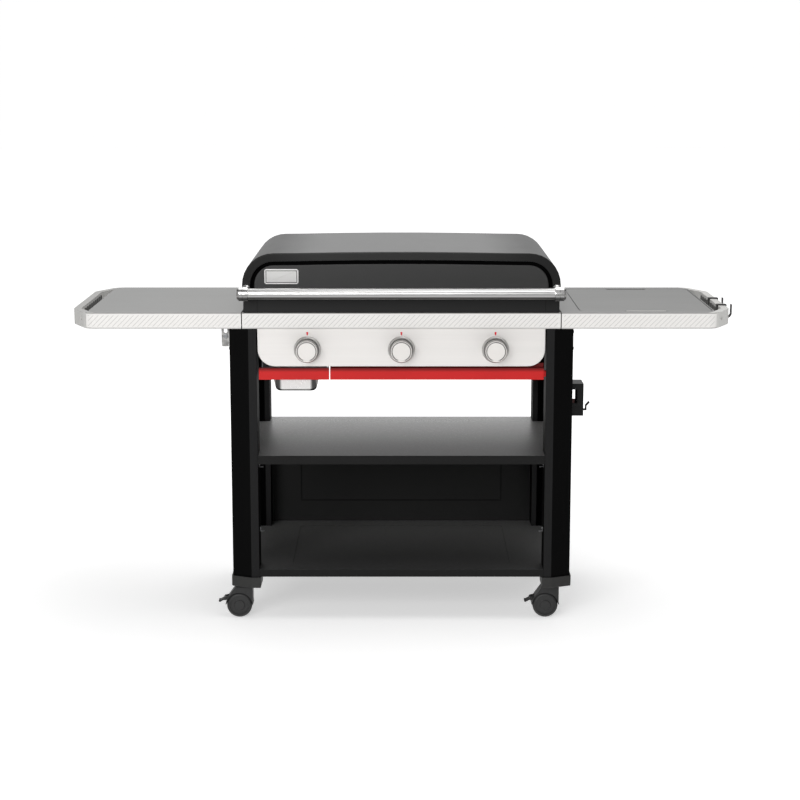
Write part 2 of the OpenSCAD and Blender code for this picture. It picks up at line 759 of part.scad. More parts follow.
board_x0 = table_x0 + board_in;
board_x1 = cap_x - seam - 2 * sheet_t - board_gap;
board_mid = (board_x0 + board_x1) / 2;
module board_outline(d) {
    round_box2([board_x0 - d, board_side - d], [board_x1 + d, cart_d - board_side + d], board_r + d);
}
module right_table_top() {
    floor_top = table_z - board_t - move_gap;
    color([0.62, 0.62, 0.61]) from_front() difference() {
        union() {
            along_z(table_z - sheet_t, table_z) surface_area();
            table_folds();
            along_z(floor_top - sheet_t, table_z) board_outline(board_gap + sheet_t);
        }
        along_z(floor_top, table_z + 1) board_outline(board_gap);
    }
}
module prep_board() {
    w = notch_w / 2;
    slope = 8;
    color([0.61, 0.61, 0.6]) from_front() difference() {
        along_z(table_z - board_t, table_z) board_with_notches(0, w, slope);
        along_z(table_z - board_t - 1, table_z - sheet_t) board_with_notches(-sheet_t, w, slope);
    }
}
// The board's outline grown by d, less its two finger notches.
module board_with_notches(d, w, slope) {
    y = [board_side - 1, board_side + notch_d - d];
    difference() {
        board_outline(d);
        for (s = [0, 1]) translate([board_mid, s * cart_d]) mirror([0, s])
            polygon([[-w + d, y[0]], [w - d, y[0]], [w - d - slope, y[1]], [-w + d + slope, y[1]]]);
    }
}

// Hooks that hang over the right handle rail.
module tool_hook(y) {
    t = 3;
    w = 18;
    gap = move_gap + t / 2;
    inner = tip_x - grip_w - gap;
    outer = tip_x + gap;
    up = table_z + gap;
    tip = outer + 16;
    color([0.1, 0.1, 0.1]) from_front() along_y(y - w / 2, y + w / 2)
        strip([[inner, up - 18], [inner, up], [outer, up], [outer, up - 34],
               [outer + 6, up - 39], [tip - 4, up - 35], [tip, up - 28], [tip, up + 1]], t);
}
module tool_hook_front() { tool_hook(173); }
module tool_hook_rear() { tool_hook(322); }

bracket_y = leg_d - 37;
bracket_h = 58;
module left_table_bracket() {
    y = bracket_y;
    w = 24;
    h = bracket_h;
    fold = 26;
    color([0.8, 0.8, 0.79]) from_front() mirror([1, 0, 0]) {
        along_y(y, y + sheet_t) difference() {
            round_box2([outer_x, rail_z - h], [outer_x + w, rail_z], 4);
            round_box2([outer_x + w / 2 - 5, rail_z - 18], [outer_x + w / 2 + 5, rail_z + 6], 5);
        }
        block([outer_x, outer_x + sheet_t], [y, y + fold], [rail_z - h + 4, rail_z]);
    }
}

// ---- tank scale ------------------------------------------------------------

scale_x1 = outer_x + scale_w;
window_x = [outer_x + 12, outer_x + 34];
window_z = [scale_z + 39, scale_z + 81];
hook_z = scale_z + 13;                       // middle of the hook's lower bar
hook_y = scale_y + scale_d / 2;
module tank_scale_housing() {
    hook_w = 16;
    color([0.15, 0.15, 0.15]) from_front() difference() {
        block([outer_x, scale_x1], [scale_y, scale_y + scale_d], [scale_z, scale_z + scale_h]);
        block([outer_x + sheet_t, scale_x1 - sheet_t],
              [scale_y + sheet_t, scale_y + scale_d - sheet_t],
              [scale_z + sheet_t, scale_z + scale_h - sheet_t]);
        block(window_x, [scale_y - 1, scale_y + scale_d + 1], window_z);
        block([scale_x1 - sheet_t - 1, scale_x1 + 1],
              [hook_y - hook_w / 2 - 1, hook_y + hook_w / 2 + 1],
              [hook_z - hook_t / 2 - hook_travel - 1, hook_z + hook_t / 2 + 1]);
    }
}
module tank_hook() {
    hook_w = 16;
    inside = scale_x1 - 16;
    tip = [scale_x1 + 21, hook_z + 24];
    color([0.12, 0.12, 0.12]) from_front() along_y(hook_y - hook_w / 2, hook_y + hook_w / 2)
        strip([[inside, hook_z + 30], [inside, hook_z], [scale_x1 + 11, hook_z],
               [scale_x1 + 11, hook_z + 13], tip], hook_t);
}
module scale_marker() {
    color([0.7, 0.1, 0.1]) from_front()
        block([window_x[0] + 2, window_x[1] - 8], [scale_y + sheet_t + move_gap, scale_y + 8],
              [window_z[0] + move_gap, window_z[0] + 13]);
}

// ---- screws ----------------------------------------------------------------

module cart_screws() {
    head_r = 5.5;
    head_h = 3.5;
    along = [16, 65];                        // heights below the rail
    // one screw bears on the left bracket's fold, the others on the legs
    function seat(right, front, drop) =
        outer_x + (front && !right && drop < bracket_h ? sheet_t : 0);
    color([0.15, 0.15, 0.15]) from_front() {
        for (right = [false, true], front = [false, true], drop = along)
            let (x = seat(right, front, drop))
                at_corner(right, front) translate([0, leg_d - 22, rail_z - drop])
                    rod_x(head_r, x, x + head_h);
        // the left bracket's own screw
        mirror([1, 0, 0]) translate([outer_x + 12, 0, rail_z - 27])
            rod_y(7, bracket_y - head_h, bracket_y);
    }
}

// ---- lid -------------------------------------------------------------------

crown_half = lid_half - lid_r;
crown_n = 12;
// The lid's outline drawn in by d at the sides and top, with its lower edge at low.
function lid_outline(d, low) = let (
    crown = [for (k = [1 : crown_n - 1]) let (x = crown_half * (1 - 2 * k / crown_n))
        [x, lid_top + lid_crown * (1 - pow(x / crown_half, 2))]],
    corners = concat([[lid_half, low - d], [lid_half, lid_top]], crown,
                     [[-lid_half, lid_top], [-lid_half, low - d]]),
    last = len(corners) - 1,
    radii = [for (i = [0 : last]) (i == 1 || i == last - 1) ? max(lid_r - d, 5) : 0])
    rounded(inset(corners, d), radii);

module lid_shell() {
    back = box_back + 2;
    color([0.2, 0.2, 0.2]) from_front() difference() {
        along_y(0, back) polygon(lid_outline(0, lid_z));
        along_y(groove_d, back - sheet_t) polygon(lid_outline(sheet_t, lid_z - 1));
        along_y(-1, groove_d + 1) polygon(lid_outline(border_w, lid_z - 1));
    }
}
module lid_front_panel() {
    tail = 2;
    in = border_w + groove_w;
    color([0.26, 0.26, 0.26]) from_front() difference() {
        union() {
            along_y(3, groove_d + 1) polygon(lid_outline(in, lid_z));
            along_y(groove_d, groove_d + tail) polygon(lid_outline(sheet_t, lid_z));
        }
        along_y(3 + sheet_t, groove_d + tail + 1) polygon(lid_outline(in + sheet_t, lid_z + sheet_t));
    }
}
module handle_tube() {
    half = lid_half + end_out - end_l;
    wall = 2;
    color([0.85, 0.85, 0.85]) from_front() translate([0, -handle_reach, handle_z]) difference() {
        rod_x(handle_dia / 2, -half, half);
        rod_x(handle_dia / 2 - wall, -half - 1, half + 1);
    }
}
module handle_ends() {
    x1 = lid_half + end_out;
    x0 = x1 - end_l;
    edge = 6;
    arm_r = 9.5;
    color([0.75, 0.75, 0.75]) from_front() both() {
        translate([x0, -handle_reach, handle_z]) rotate([0, 90, 0]) rotate_extrude()
            polygon([[0, 0], [end_dia / 2, 0], [end_dia / 2, end_l - edge],
                     [end_dia / 2 - edge, end_l], [0, end_l]]);
        translate([x0 + arm_r + 0.5, 0, handle_z + 7]) rod_y(arm_r, -handle_reach, 0);
    }
}

HINGE_X = [hinge_in - lid_half, lid_half - hinge_in];
hinge_pin_r = 4;
ear_t = 4;
leaf_w = 18;
hinge_z = rim_z - 5;
module hinge_brackets() {
    half = leaf_w / 2 + 1 + ear_t;
    color([0.15, 0.15, 0.15]) from_front() for (x = HINGE_X) translate([x, 0, 0]) {
        for (s = [0, 1]) mirror([s, 0, 0]) along_x(half - ear_t, half) union() {
            translate([hinge_y, hinge_z]) circle(r = hinge_r);
            polygon([[box_back, hinge_z - 30], [hinge_y, hinge_z - 30], [hinge_y + hinge_r, hinge_z],
                     [hinge_y - hinge_r, hinge_z], [box_back, hinge_z - 12]]);
        }
        block([-half, half], [box_back, box_back + 2], [hinge_z - 34, hinge_z - 12]);
        translate([0, hinge_y, hinge_z]) rod_x(hinge_pin_r, -half - 2, half + 2);
    }
}
module hinge_arms() {
    half = leaf_w / 2;
    color([0.2, 0.2, 0.2]) from_front() for (x = HINGE_X) translate([x, 0, 0]) difference() {
        union() {
            translate([0, hinge_y, hinge_z]) rod_x(hinge_r - move_gap, -half, half);
            block([-half, half], [box_back + 2, box_back + 2 + 3], [hinge_z, lid_z + 36]);
            block([-half, half], [box_back + 2, hinge_y], [hinge_z, hinge_z + hinge_r - move_gap]);
        }
        translate([0, hinge_y, hinge_z]) rod_x(hinge_pin_r + run_fit, -half - 1, half + 1);
    }
}

// ---- casters ---------------------------------------------------------------

wheel_r = wheel_dia / 2;
wheel_gap = 1.2;                             // between a wheel and its hood
web_t = 4.4;                                 // the hood's middle web
hood_w = web_t + 2 * wheel_w + 3;
hood_r = wheel_r + wheel_gap + 2.6;
hood_top = caster_h - 8;
stem_hang = (caster_h - wheel_dia) * 10 / 13;   // a stem ends in the room above the wheels
axle_r = 4;
pedal_at = [-caster_trail - hood_r - 1.5, wheel_r + 19];
socket_r = 13;

// A caster's frame: stem on Z, wheels trailing towards -X, ground at z = 0.
module at_caster(right, front) {
    translate([(right ? 1 : -1) * stem_x, front ? stem_y : cart_d - stem_y, 0]) children();
}
module hood_side() {
    wheel = [-caster_trail, wheel_r];
    translate(wheel) intersection() {
        circle(r = hood_r);
        translate([-hood_r, 3]) square(2 * hood_r);
    }
    polygon([[socket_r, wheel_r + 6], [socket_r, hood_top], [wheel[0] - 12, hood_top],
             [wheel[0] - hood_r + 9, wheel_r + 27], [wheel[0], wheel_r + 6]]);
}
module caster_body(right, front) {
    wheel = [-caster_trail, wheel_r];
    lug_y = [11.5, 14.5];
    color([0.22, 0.22, 0.22]) from_front() at_caster(right, front) difference() {
        union() {
            along_y(-hood_w / 2, hood_w / 2) hood_side();
            rod_z(socket_r, hood_top - 2, caster_h - 3 - move_gap);
            translate([wheel[0], 0, wheel[1]]) rod_y(9, -web_t / 2, web_t / 2);
            along_y(-web_t / 2, web_t / 2)
                polygon([wheel + [-8, 0], wheel + [8, 0], wheel + [14, wheel_r], wheel + [-14, wheel_r]]);
            if (front) for (s = [0, 1]) mirror([0, s, 0]) along_y(lug_y[0], lug_y[1]) {
                translate(pedal_at) circle(r = 5);
                polygon([pedal_at + [0, -5], pedal_at + [0, 5], pedal_at + [12, 8], pedal_at + [6, -3]]);
            }
        }
        for (s = [0, 1]) mirror([0, s, 0]) translate([wheel[0], 0, wheel[1]])
            rod_y(wheel_r + wheel_gap, web_t / 2, web_t / 2 + wheel_w + 10);
        translate([wheel[0], 0, wheel[1]]) rod_y(axle_r + run_fit, -web_t, web_t);
        rod_z(caster_stem_dia / 2 + run_fit, caster_h - stem_hang - 1, caster_h);
        if (front) translate([pedal_at[0], 0, pedal_at[1]]) rod_y(2 + run_fit, -20, 20);
    }
}
module caster_wheels(right, front) {
    face = web_t / 2 + move_gap;
    edge = 3;
    color([0.25, 0.25, 0.25]) from_front() at_caster(right, front)
        translate([-caster_trail, 0, wheel_r]) {
            rod_y(axle_r, -face - 1, face + 1);
            for (s = [0, 1]) mirror([0, s, 0]) translate([0, face, 0]) rotate([-90, 0, 0])
                rotate_extrude($fn = 96)
                    polygon([[0, 0], [wheel_r, 0], [wheel_r, wheel_w - edge], [wheel_r - edge, wheel_w],
                             [wheel_r - 9, wheel_w], [wheel_r - 11, wheel_w - 2],
                             [wheel_r - 15, wheel_w - 2], [wheel_r - 17, wheel_w], [0, wheel_w]]);
        }
}
module brake_pedal(right) {
    lever = [[0, 3], [-15, -5.5], [-19.5, -5], [-19.5, -10], [-16, -11.5], [0, -3]];
    color([0.16, 0.16, 0.16]) from_front() at_caster(right, true)
        translate([pedal_at[0], 0, pedal_at[1]]) {
            rod_y(2, -14.5, 14.5);
            rod_y(4.5, -11, 11);
            along_y(-11, 11) polygon(lever);
        }
}
module brake_pedal_left() { brake_pedal(false); }
module brake_pedal_right() { brake_pedal(true); }

module caster_body_front_left() { caster_body(false, true); }
module caster_body_front_right() { caster_body(true, true); }
module caster_body_rear_left() { caster_body(false, false); }
module caster_body_rear_right() { caster_body(true, false); }
module caster_wheels_front_left() { caster_wheels(false, true); }
module caster_wheels_front_right() { caster_wheels(true, true); }
module caster_wheels_rear_left() { caster_wheels(false, false); }
module caster_wheels_rear_right() { caster_wheels(true, false); }

leg_front_left();
leg_front_right();
leg_rear_left();
leg_rear_right();
foot_caps();
caster_stems();
side_rails();
middle_shelf();
bottom_shelf();
back_panel();
front_rail();
rear_rail();
control_panel();
knob_bezels();
lower_bar();
drawer_runners();
cook_box();
griddle_plate();
burners();
gas_manifold();
gas_valves();
left_table_top();
left_table_bands();
left_end_cap();
right_table_top();
right_table_bands();
right_end_cap();
prep_board();
tank_scale_housing();
tank_hook();
scale_marker();
left_table_bracket();
cart_screws();
hinge_brackets();
hinge_arms();
lid_shell();
lid_front_panel();
handle_tube();
handle_ends();
valve_stem_left();
valve_stem_middle();
valve_stem_right();
knob_left();
knob_middle();
knob_right();
drawer_front();
grease_tray();
drip_cup();
tool_hook_front();
tool_hook_rear();
caster_body_front_left();
caster_body_front_right();
caster_body_rear_left();
caster_body_rear_right();
caster_wheels_front_left();
caster_wheels_front_right();
caster_wheels_rear_left();
caster_wheels_rear_right();
brake_pedal_left();
brake_pedal_right();
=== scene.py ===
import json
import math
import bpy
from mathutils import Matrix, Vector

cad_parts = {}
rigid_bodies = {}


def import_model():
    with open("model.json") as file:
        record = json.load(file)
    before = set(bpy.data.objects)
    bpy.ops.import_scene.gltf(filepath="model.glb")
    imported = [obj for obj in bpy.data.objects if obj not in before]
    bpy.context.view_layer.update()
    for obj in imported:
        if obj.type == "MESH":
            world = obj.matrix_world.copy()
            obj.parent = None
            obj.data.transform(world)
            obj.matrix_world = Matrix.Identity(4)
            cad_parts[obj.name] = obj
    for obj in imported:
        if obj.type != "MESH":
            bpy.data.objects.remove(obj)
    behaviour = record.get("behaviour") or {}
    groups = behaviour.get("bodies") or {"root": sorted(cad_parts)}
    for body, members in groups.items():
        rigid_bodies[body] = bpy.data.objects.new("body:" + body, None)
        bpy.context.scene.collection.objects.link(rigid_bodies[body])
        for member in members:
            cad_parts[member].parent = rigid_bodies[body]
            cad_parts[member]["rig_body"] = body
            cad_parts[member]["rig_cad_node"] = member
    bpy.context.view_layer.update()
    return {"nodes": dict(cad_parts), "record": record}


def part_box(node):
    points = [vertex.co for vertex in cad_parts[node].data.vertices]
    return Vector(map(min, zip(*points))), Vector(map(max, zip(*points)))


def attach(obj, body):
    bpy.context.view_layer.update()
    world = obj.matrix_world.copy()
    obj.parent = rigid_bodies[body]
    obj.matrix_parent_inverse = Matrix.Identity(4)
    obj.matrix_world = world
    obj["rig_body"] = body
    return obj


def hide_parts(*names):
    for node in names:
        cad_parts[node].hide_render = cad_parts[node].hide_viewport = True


bl_info = {
    "name": "Flat-Top Gas Grill",
    "version": (1, 0, 0),
    "blender": (4, 5, 0),
    "location": "View3D > Sidebar > Grill",
    "description": "Builds the visible pieces, finishes and studio of a flat-top gas grill on its frame",
    "category": "Object",
}

import bmesh
import bpy
from bpy.props import FloatProperty, FloatVectorProperty, IntProperty, PointerProperty
from mathutils import Vector

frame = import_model()
MM = 0.001
NEAR = 0.0005  # how far off a face or an edge may be and still count as lying in a plane
KNOBS = ("left", "middle", "right")


# ---- sizes and colours a user may change ---------------------------------


def length(name, text, default, high=2.0):
    """A size in metres."""
    return FloatProperty(name=name, description=text, default=default, min=0.0, max=high, precision=4,
                         subtype="DISTANCE", unit="LENGTH")


def colour(name, text, default):
    """A paint or metal colour."""
    return FloatVectorProperty(name=name, description=text, default=default, min=0.0, max=1.0, size=3,
                               subtype="COLOR")


def share(name, text, default, high=1.0):
    """A plain number, such as a roughness."""
    return FloatProperty(name=name, description=text, default=default, min=0.0, max=high)


class TableSettings(bpy.types.PropertyGroup):
    """The side tables, their bands and their end caps."""
    steel: colour("Table steel", "Colour of the brushed table tops", (0.365, 0.365, 0.358))
    band: colour("Band paint", "Ground colour of the bands round the top", (0.80, 0.785, 0.765))
    hatch: colour("Hatch print", "Colour of the slanting lines on the bands", (0.50, 0.49, 0.475))
    cap: colour("End cap plastic", "Colour of the moulded end caps", (0.50, 0.495, 0.48))
    hatch_pitch: length("Hatch pitch", "Distance from one slanting line to the next", 14.5 * MM, 0.1)
    hatch_line: length("Hatch line", "Width of one slanting line", 2.2 * MM, 0.02)
    hatch_margin: length("Hatch margin", "Plain strip round the printed lines", 6.5 * MM, 0.02)
    cap_round: length("Cap rounding", "Radius of an end cap's lower outer edge", 11 * MM, 0.02)
    cap_top_round: length("Cap top rounding", "Radius of an end cap's upper edges", 4 * MM, 0.01)
    rib_count: IntProperty(name="Grip ribs", description="Ribs on the inside of each grip", default=9,
                           min=1, max=30)


class LidSettings(bpy.types.PropertyGroup):
    """The lid, its badge plate and its handle."""
    paint: colour("Lid paint", "Colour of the lid's outer skin", (0.0145, 0.0145, 0.0143))
    panel: colour("Front panel paint", "Colour of the lid's raised front panel", (0.030, 0.030, 0.0297))
    front_edge: length("Front edge", "Rounding of the hood's front rim", 3.5 * MM, 0.02)
    groove_edge: length("Groove edge", "Rounding of the rim beside the groove", 2 * MM, 0.01)
    badge_width: length("Badge width", "Width of the blank badge plate", 98 * MM, 0.3)
    badge_height: length("Badge height", "Height of the blank badge plate", 43 * MM, 0.1)
    badge_rim: length("Badge rim", "Width of the plate's raised rim", 3.0 * MM, 0.02)
    badge_at: length("Badge place", "Distance of the plate's middle from the lid's middle", 345 * MM, 0.42)
    handle: colour("Handle metal", "Colour of the polished handle", (0.98, 0.975, 0.965))


class ControlSettings(bpy.types.PropertyGroup):
    """The control panel, its knobs and the red bar."""
    panel: colour("Panel metal", "Colour of the brushed control panel", (0.93, 0.905, 0.88))
    knob: colour("Knob metal", "Colour of the knobs", (0.74, 0.715, 0.69))
    ring: colour("Ring metal", "Colour of the ring round a knob", (0.62, 0.61, 0.595))
    red: colour("Red paint", "Colour of the bar and the drawer front", (0.56, 0.009, 0.009))
    mark: colour("Mark red", "Colour of the marks above the knobs", (0.72, 0.0, 0.012))
    mark_width: length("Mark width", "Width of a mark above a knob", 6 * MM, 0.02)
    mark_height: length("Mark height", "Height of a mark above a knob", 9.5 * MM, 0.03)
    mark_up: length("Mark place", "Height of a mark's middle above the knob's middle", 46 * MM, 0.1)
    finger_groove: length("Finger groove", "Depth of the groove round a knob's side", 1.6 * MM, 0.01)


class CartSettings(bpy.types.PropertyGroup):
    """The cart's paint, shelves, casters and small hardware."""
    black: colour("Leg paint", "Colour of the powder coated legs", (0.0160, 0.0160, 0.0163))
    shelf: colour("Shelf paint", "Colour of the powder coated shelves", (0.022, 0.022, 0.0218))
    foot: colour("Foot plastic", "Colour of the moulded foot caps", (0.026, 0.026, 0.0248))
    caster: colour("Caster plastic", "Colour of the casters", (0.030, 0.030, 0.030))
    sheet_edge: length("Sheet edge", "Rounding of folded sheet edges", 1.2 * MM, 0.01)
    hub_radius: length("Hub radius", "Radius of the raised hub on a caster wheel", 15 * MM, 0.05)
    field_side: length("Field side margin", "Margin beside the back panel's pressed field", 95 * MM, 0.3)
    field_edge: length("Field edge margin", "Margin above and below the back panel's pressed field", 68 * MM, 0.3)
    clip: length("Shelf clip", "Length of a shelf clip's leaf", 13 * MM, 0.05)


class StageSettings(bpy.types.PropertyGroup):
    """The camera, floor and lights."""
    lens: FloatProperty(name="Lens", description="Focal length of the camera", default=83.16, min=10, max=300,
                        subtype="DISTANCE_CAMERA", unit="CAMERA")
    camera_height: length("Camera height", "Height of the camera above the floor", 1.657, 10)
    camera_back: length("Camera distance", "Distance of the camera from the frame's middle plane", 5.55125, 20)
    camera_tilt: FloatProperty(name="Camera tilt", description="How far the camera looks down",
                               default=math.radians(10.6), min=0, max=1.5, subtype="ANGLE", unit="ROTATION")
    floor: colour("Floor", "Colour of the floor", (0.92, 0.92, 0.92))
    top_light: share("Top light", "Power of the large light above the grill, in watts", 75, 2000)
    front_light: share("Front light", "Power of the large light behind the camera, in watts", 165, 4000)
    room: share("Room light", "Strength of the even light from all round", 0.20, 10)
    behind: share("Rear light", "Extra light from behind the grill", 0.55, 10)
    below: share("Low light", "Extra light from below, as a pale floor gives", 0.5, 10)


GROUPS = {"grill_tables": TableSettings, "grill_lid": LidSettings, "grill_controls": ControlSettings,
          "grill_cart": CartSettings, "grill_stage": StageSettings}


# ---- modelling helpers ---------------------------------------------------


def put_away():
    """Leaves edit mode and deselects everything, so that an operator acts on new work alone."""
    if bpy.context.mode != "OBJECT":
        bpy.ops.object.mode_set(mode="OBJECT")
    bpy.ops.object.select_all(action="DESELECT")


def take(piece):
    """Makes one piece the only selected and active one."""
    put_away()
    piece.select_set(True)
    bpy.context.view_layer.objects.active = piece
    return piece


def open_mesh(piece, kind="FACE"):
    """Takes a piece into edit mode with nothing selected."""
    take(piece)
    bpy.ops.object.mode_set(mode="EDIT")
    bpy.ops.mesh.select_mode(type=kind)
    bpy.ops.mesh.select_all(action="DESELECT")


def pick_faces(piece, test):
    """Selects the faces whose middle and normal pass a test."""
    mesh = bmesh.from_edit_mesh(piece.data)
    chosen = [f for f in mesh.faces if test(f.calc_center_median(), f.normal)]
    for face in chosen:
        face.select_set(True)
    bmesh.update_edit_mesh(piece.data)
    return len(chosen)


def pick_edges(piece, test):
    """Selects the edges whose two ends and adjoining faces' normals pass a test."""
    mesh = bmesh.from_edit_mesh(piece.data)
    chosen = [e for e in mesh.edges
              if test(e.verts[0].co, e.verts[1].co, [f.normal for f in e.link_faces])]
    for edge in chosen:
        edge.select_set(True)
    bmesh.update_edit_mesh(piece.data)
    return len(chosen)


def is_sharp(normals, angle=0.6):
    """Whether two faces meet at a real edge."""
    return len(normals) == 2 and normals[0].angle(normals[1], 0) > angle


def copy_of(node, name):
    """A merged copy of a CAD node, ready to be shaped."""
    take(frame["nodes"][node])
    bpy.ops.object.duplicate()
    piece = bpy.context.view_layer.objects.active
    bpy.ops.object.parent_clear(type="CLEAR_KEEP_TRANSFORM")
    piece.name = name
    piece.data.name = name
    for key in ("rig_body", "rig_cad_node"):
        del piece[key]
    piece.data.materials.clear()
    bpy.ops.mesh.customdata_custom_splitnormals_clear()
    open_mesh(piece, "VERT")
    bpy.ops.mesh.select_all(action="SELECT")
    bpy.ops.mesh.remove_doubles(threshold=0.00002)
    bpy.ops.mesh.dissolve_limited(angle_limit=math.radians(0.4))
    put_away()
    return piece


def block(name, low, high):
    """A box between two corners, in metres, as a start for shaping."""
    put_away()
    low, high = Vector(low), Vector(high)
    bpy.ops.mesh.primitive_cube_add(size=1, location=(low + high) / 2, scale=high - low)
    piece = bpy.context.active_object
    piece.name = piece.data.name = name
    bpy.ops.object.transform_apply(location=True, rotation=True, scale=True)
    return piece


TURNS = {"+Z": (0, 0, 0), "-Z": (math.pi, 0, 0), "-Y": (math.pi / 2, 0, 0), "+Y": (-math.pi / 2, 0, 0),
         "+X": (0, math.pi / 2, 0), "-X": (0, -math.pi / 2, 0)}


def turned(name, steps, at, axis, sides=72):
    """A form from a lathe: a disc that is extruded and scaled through (radius, height) steps along an axis."""
    put_away()
    bpy.ops.mesh.primitive_circle_add(vertices=sides, radius=steps[0][0], fill_type="NGON")
    piece = bpy.context.active_object
    piece.name = piece.data.name = name
    bpy.ops.object.mode_set(mode="EDIT")
    bpy.ops.mesh.select_mode(type="FACE")
    bpy.ops.mesh.select_all(action="SELECT")
    bpy.ops.transform.translate(value=(0, 0, steps[0][1]))
    for (r0, h0), (r1, h1) in zip(steps, steps[1:]):
        bpy.ops.mesh.extrude_region_move(TRANSFORM_OT_translate={"value": (0, 0, h1 - h0)})
        if r1 != r0:
            bpy.ops.transform.resize(value=(r1 / r0, r1 / r0, 1), center_override=(0, 0, h1))
    bpy.ops.mesh.select_all(action="SELECT")
    bpy.ops.mesh.normals_make_consistent(inside=False)
    put_away()
    take(piece)
    piece.rotation_euler = TURNS[axis]
    piece.location = at
    bpy.ops.object.transform_apply(location=True, rotation=True, scale=True)
    return piece


def joined(name, pieces):
    """Several pieces made one."""
    put_away()
    for piece in pieces:
        piece.select_set(True)
    bpy.context.view_layer.objects.active = pieces[0]
    bpy.ops.object.join()
    whole = bpy.context.view_layer.objects.active
    whole.name = whole.data.name = name
    return whole


def modify(piece, kind, **settings):
    """Adds a modifier to a piece, sets it, and applies it."""
    take(piece)
    bpy.ops.object.modifier_add(type=kind)
    modifier = piece.modifiers[-1]
    for key, value in settings.items():
        setattr(modifier, key, value)
    bpy.ops.object.modifier_apply(modifier=modifier.name)


def soften(piece, width, segments=2):
    """Rounds the sharp edges of a piece."""
    modify(piece, "BEVEL", width=width, segments=segments, limit_method="ANGLE", angle_limit=math.radians(35),
           use_clamp_overlap=True, miter_outer="MITER_ARC")


def round_edges(piece, test, radius, segments=3):
    """Bevels the chosen edges of a piece."""
    open_mesh(piece, "EDGE")
    if pick_edges(piece, test):
        bpy.ops.mesh.bevel(offset=radius, offset_type="OFFSET", segments=segments, profile=0.5,
                           affect="EDGES", clamp_overlap=True)
    put_away()


def done(piece, body, coat, stands_for=(), smooth=35):
    """Shades a finished piece, paints it, and puts it on its body."""
    take(piece)
    bpy.ops.object.transform_apply(location=True, rotation=True, scale=True)
    bpy.ops.object.shade_smooth_by_angle(angle=math.radians(smooth))
    modify(piece, "WEIGHTED_NORMAL", keep_sharp=True, weight=80)
    paint(piece, finish(coat))
    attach(piece, body)
    if stands_for:
        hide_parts(*stands_for)
    put_away()
    return piece


def paint(piece, material):
    """Gives every part of a piece one material."""
    piece.data.materials.clear()
    piece.data.materials.append(material)


def repaint(piece, name, test):
    """Gives the faces that pass a test of their middle and normal a finish of their own."""
    piece.data.materials.append(finish(name))
    last = len(piece.data.materials) - 1
    for polygon in piece.data.polygons:
        if test(polygon.center, polygon.normal):
            polygon.material_index = last


def body_of(node):
    """The moving body that a CAD node belongs to."""
    for body, members in frame["record"]["behaviour"]["bodies"].items():
        if node in members:
            return body
    raise RuntimeError(f"no body holds {node}")


def softened(node, name, coat, width, segments=2):
    """A CAD node's copy with rounded edges, which stands for the node."""
    piece = copy_of(node, name)
    soften(piece, width, segments)
    return done(piece, body_of(node), coat, [node])


def dress(coat, *nodes):
    """Leaves CAD nodes as they are and gives them a finish."""
    for node in nodes:
        paint(frame["nodes"][node], finish(coat))


# ---- shader helpers ------------------------------------------------------


def maths_method(operation, swapped=False):
    """A method of Value for two values, which adds one Math node."""
    if swapped:
        return lambda self, other: self.finish.maths(operation, other, self)
    return lambda self, other: self.finish.maths(operation, self, other)


class Value:
    """One socket of a material. Arithmetic on values adds the Math nodes for it."""
    __add__, __radd__ = maths_method("ADD"), maths_method("ADD", True)
    __sub__, __rsub__ = maths_method("SUBTRACT"), maths_method("SUBTRACT", True)
    __mul__, __rmul__ = maths_method("MULTIPLY"), maths_method("MULTIPLY", True)
    __truediv__ = maths_method("DIVIDE")
    __gt__, __lt__ = maths_method("GREATER_THAN"), maths_method("LESS_THAN")

    def __init__(self, finish, socket):
        self.finish, self.socket = finish, socket

    def maths(self, operation, *others):
        return self.finish.maths(operation, self, *others)

    def __neg__(self):
        return self.maths("MULTIPLY", -1.0)

    def __abs__(self):
        return self.maths("ABSOLUTE")

    def fraction(self):
        return self.maths("FRACT")

    def rise(self, low, high):
        """0 below low and 1 above high, with a smooth step between."""
        return self.finish.add("MapRange", {"interpolation_type": "SMOOTHSTEP", "clamp": True},
                               {"Value": self, "From Min": low, "From Max": high})


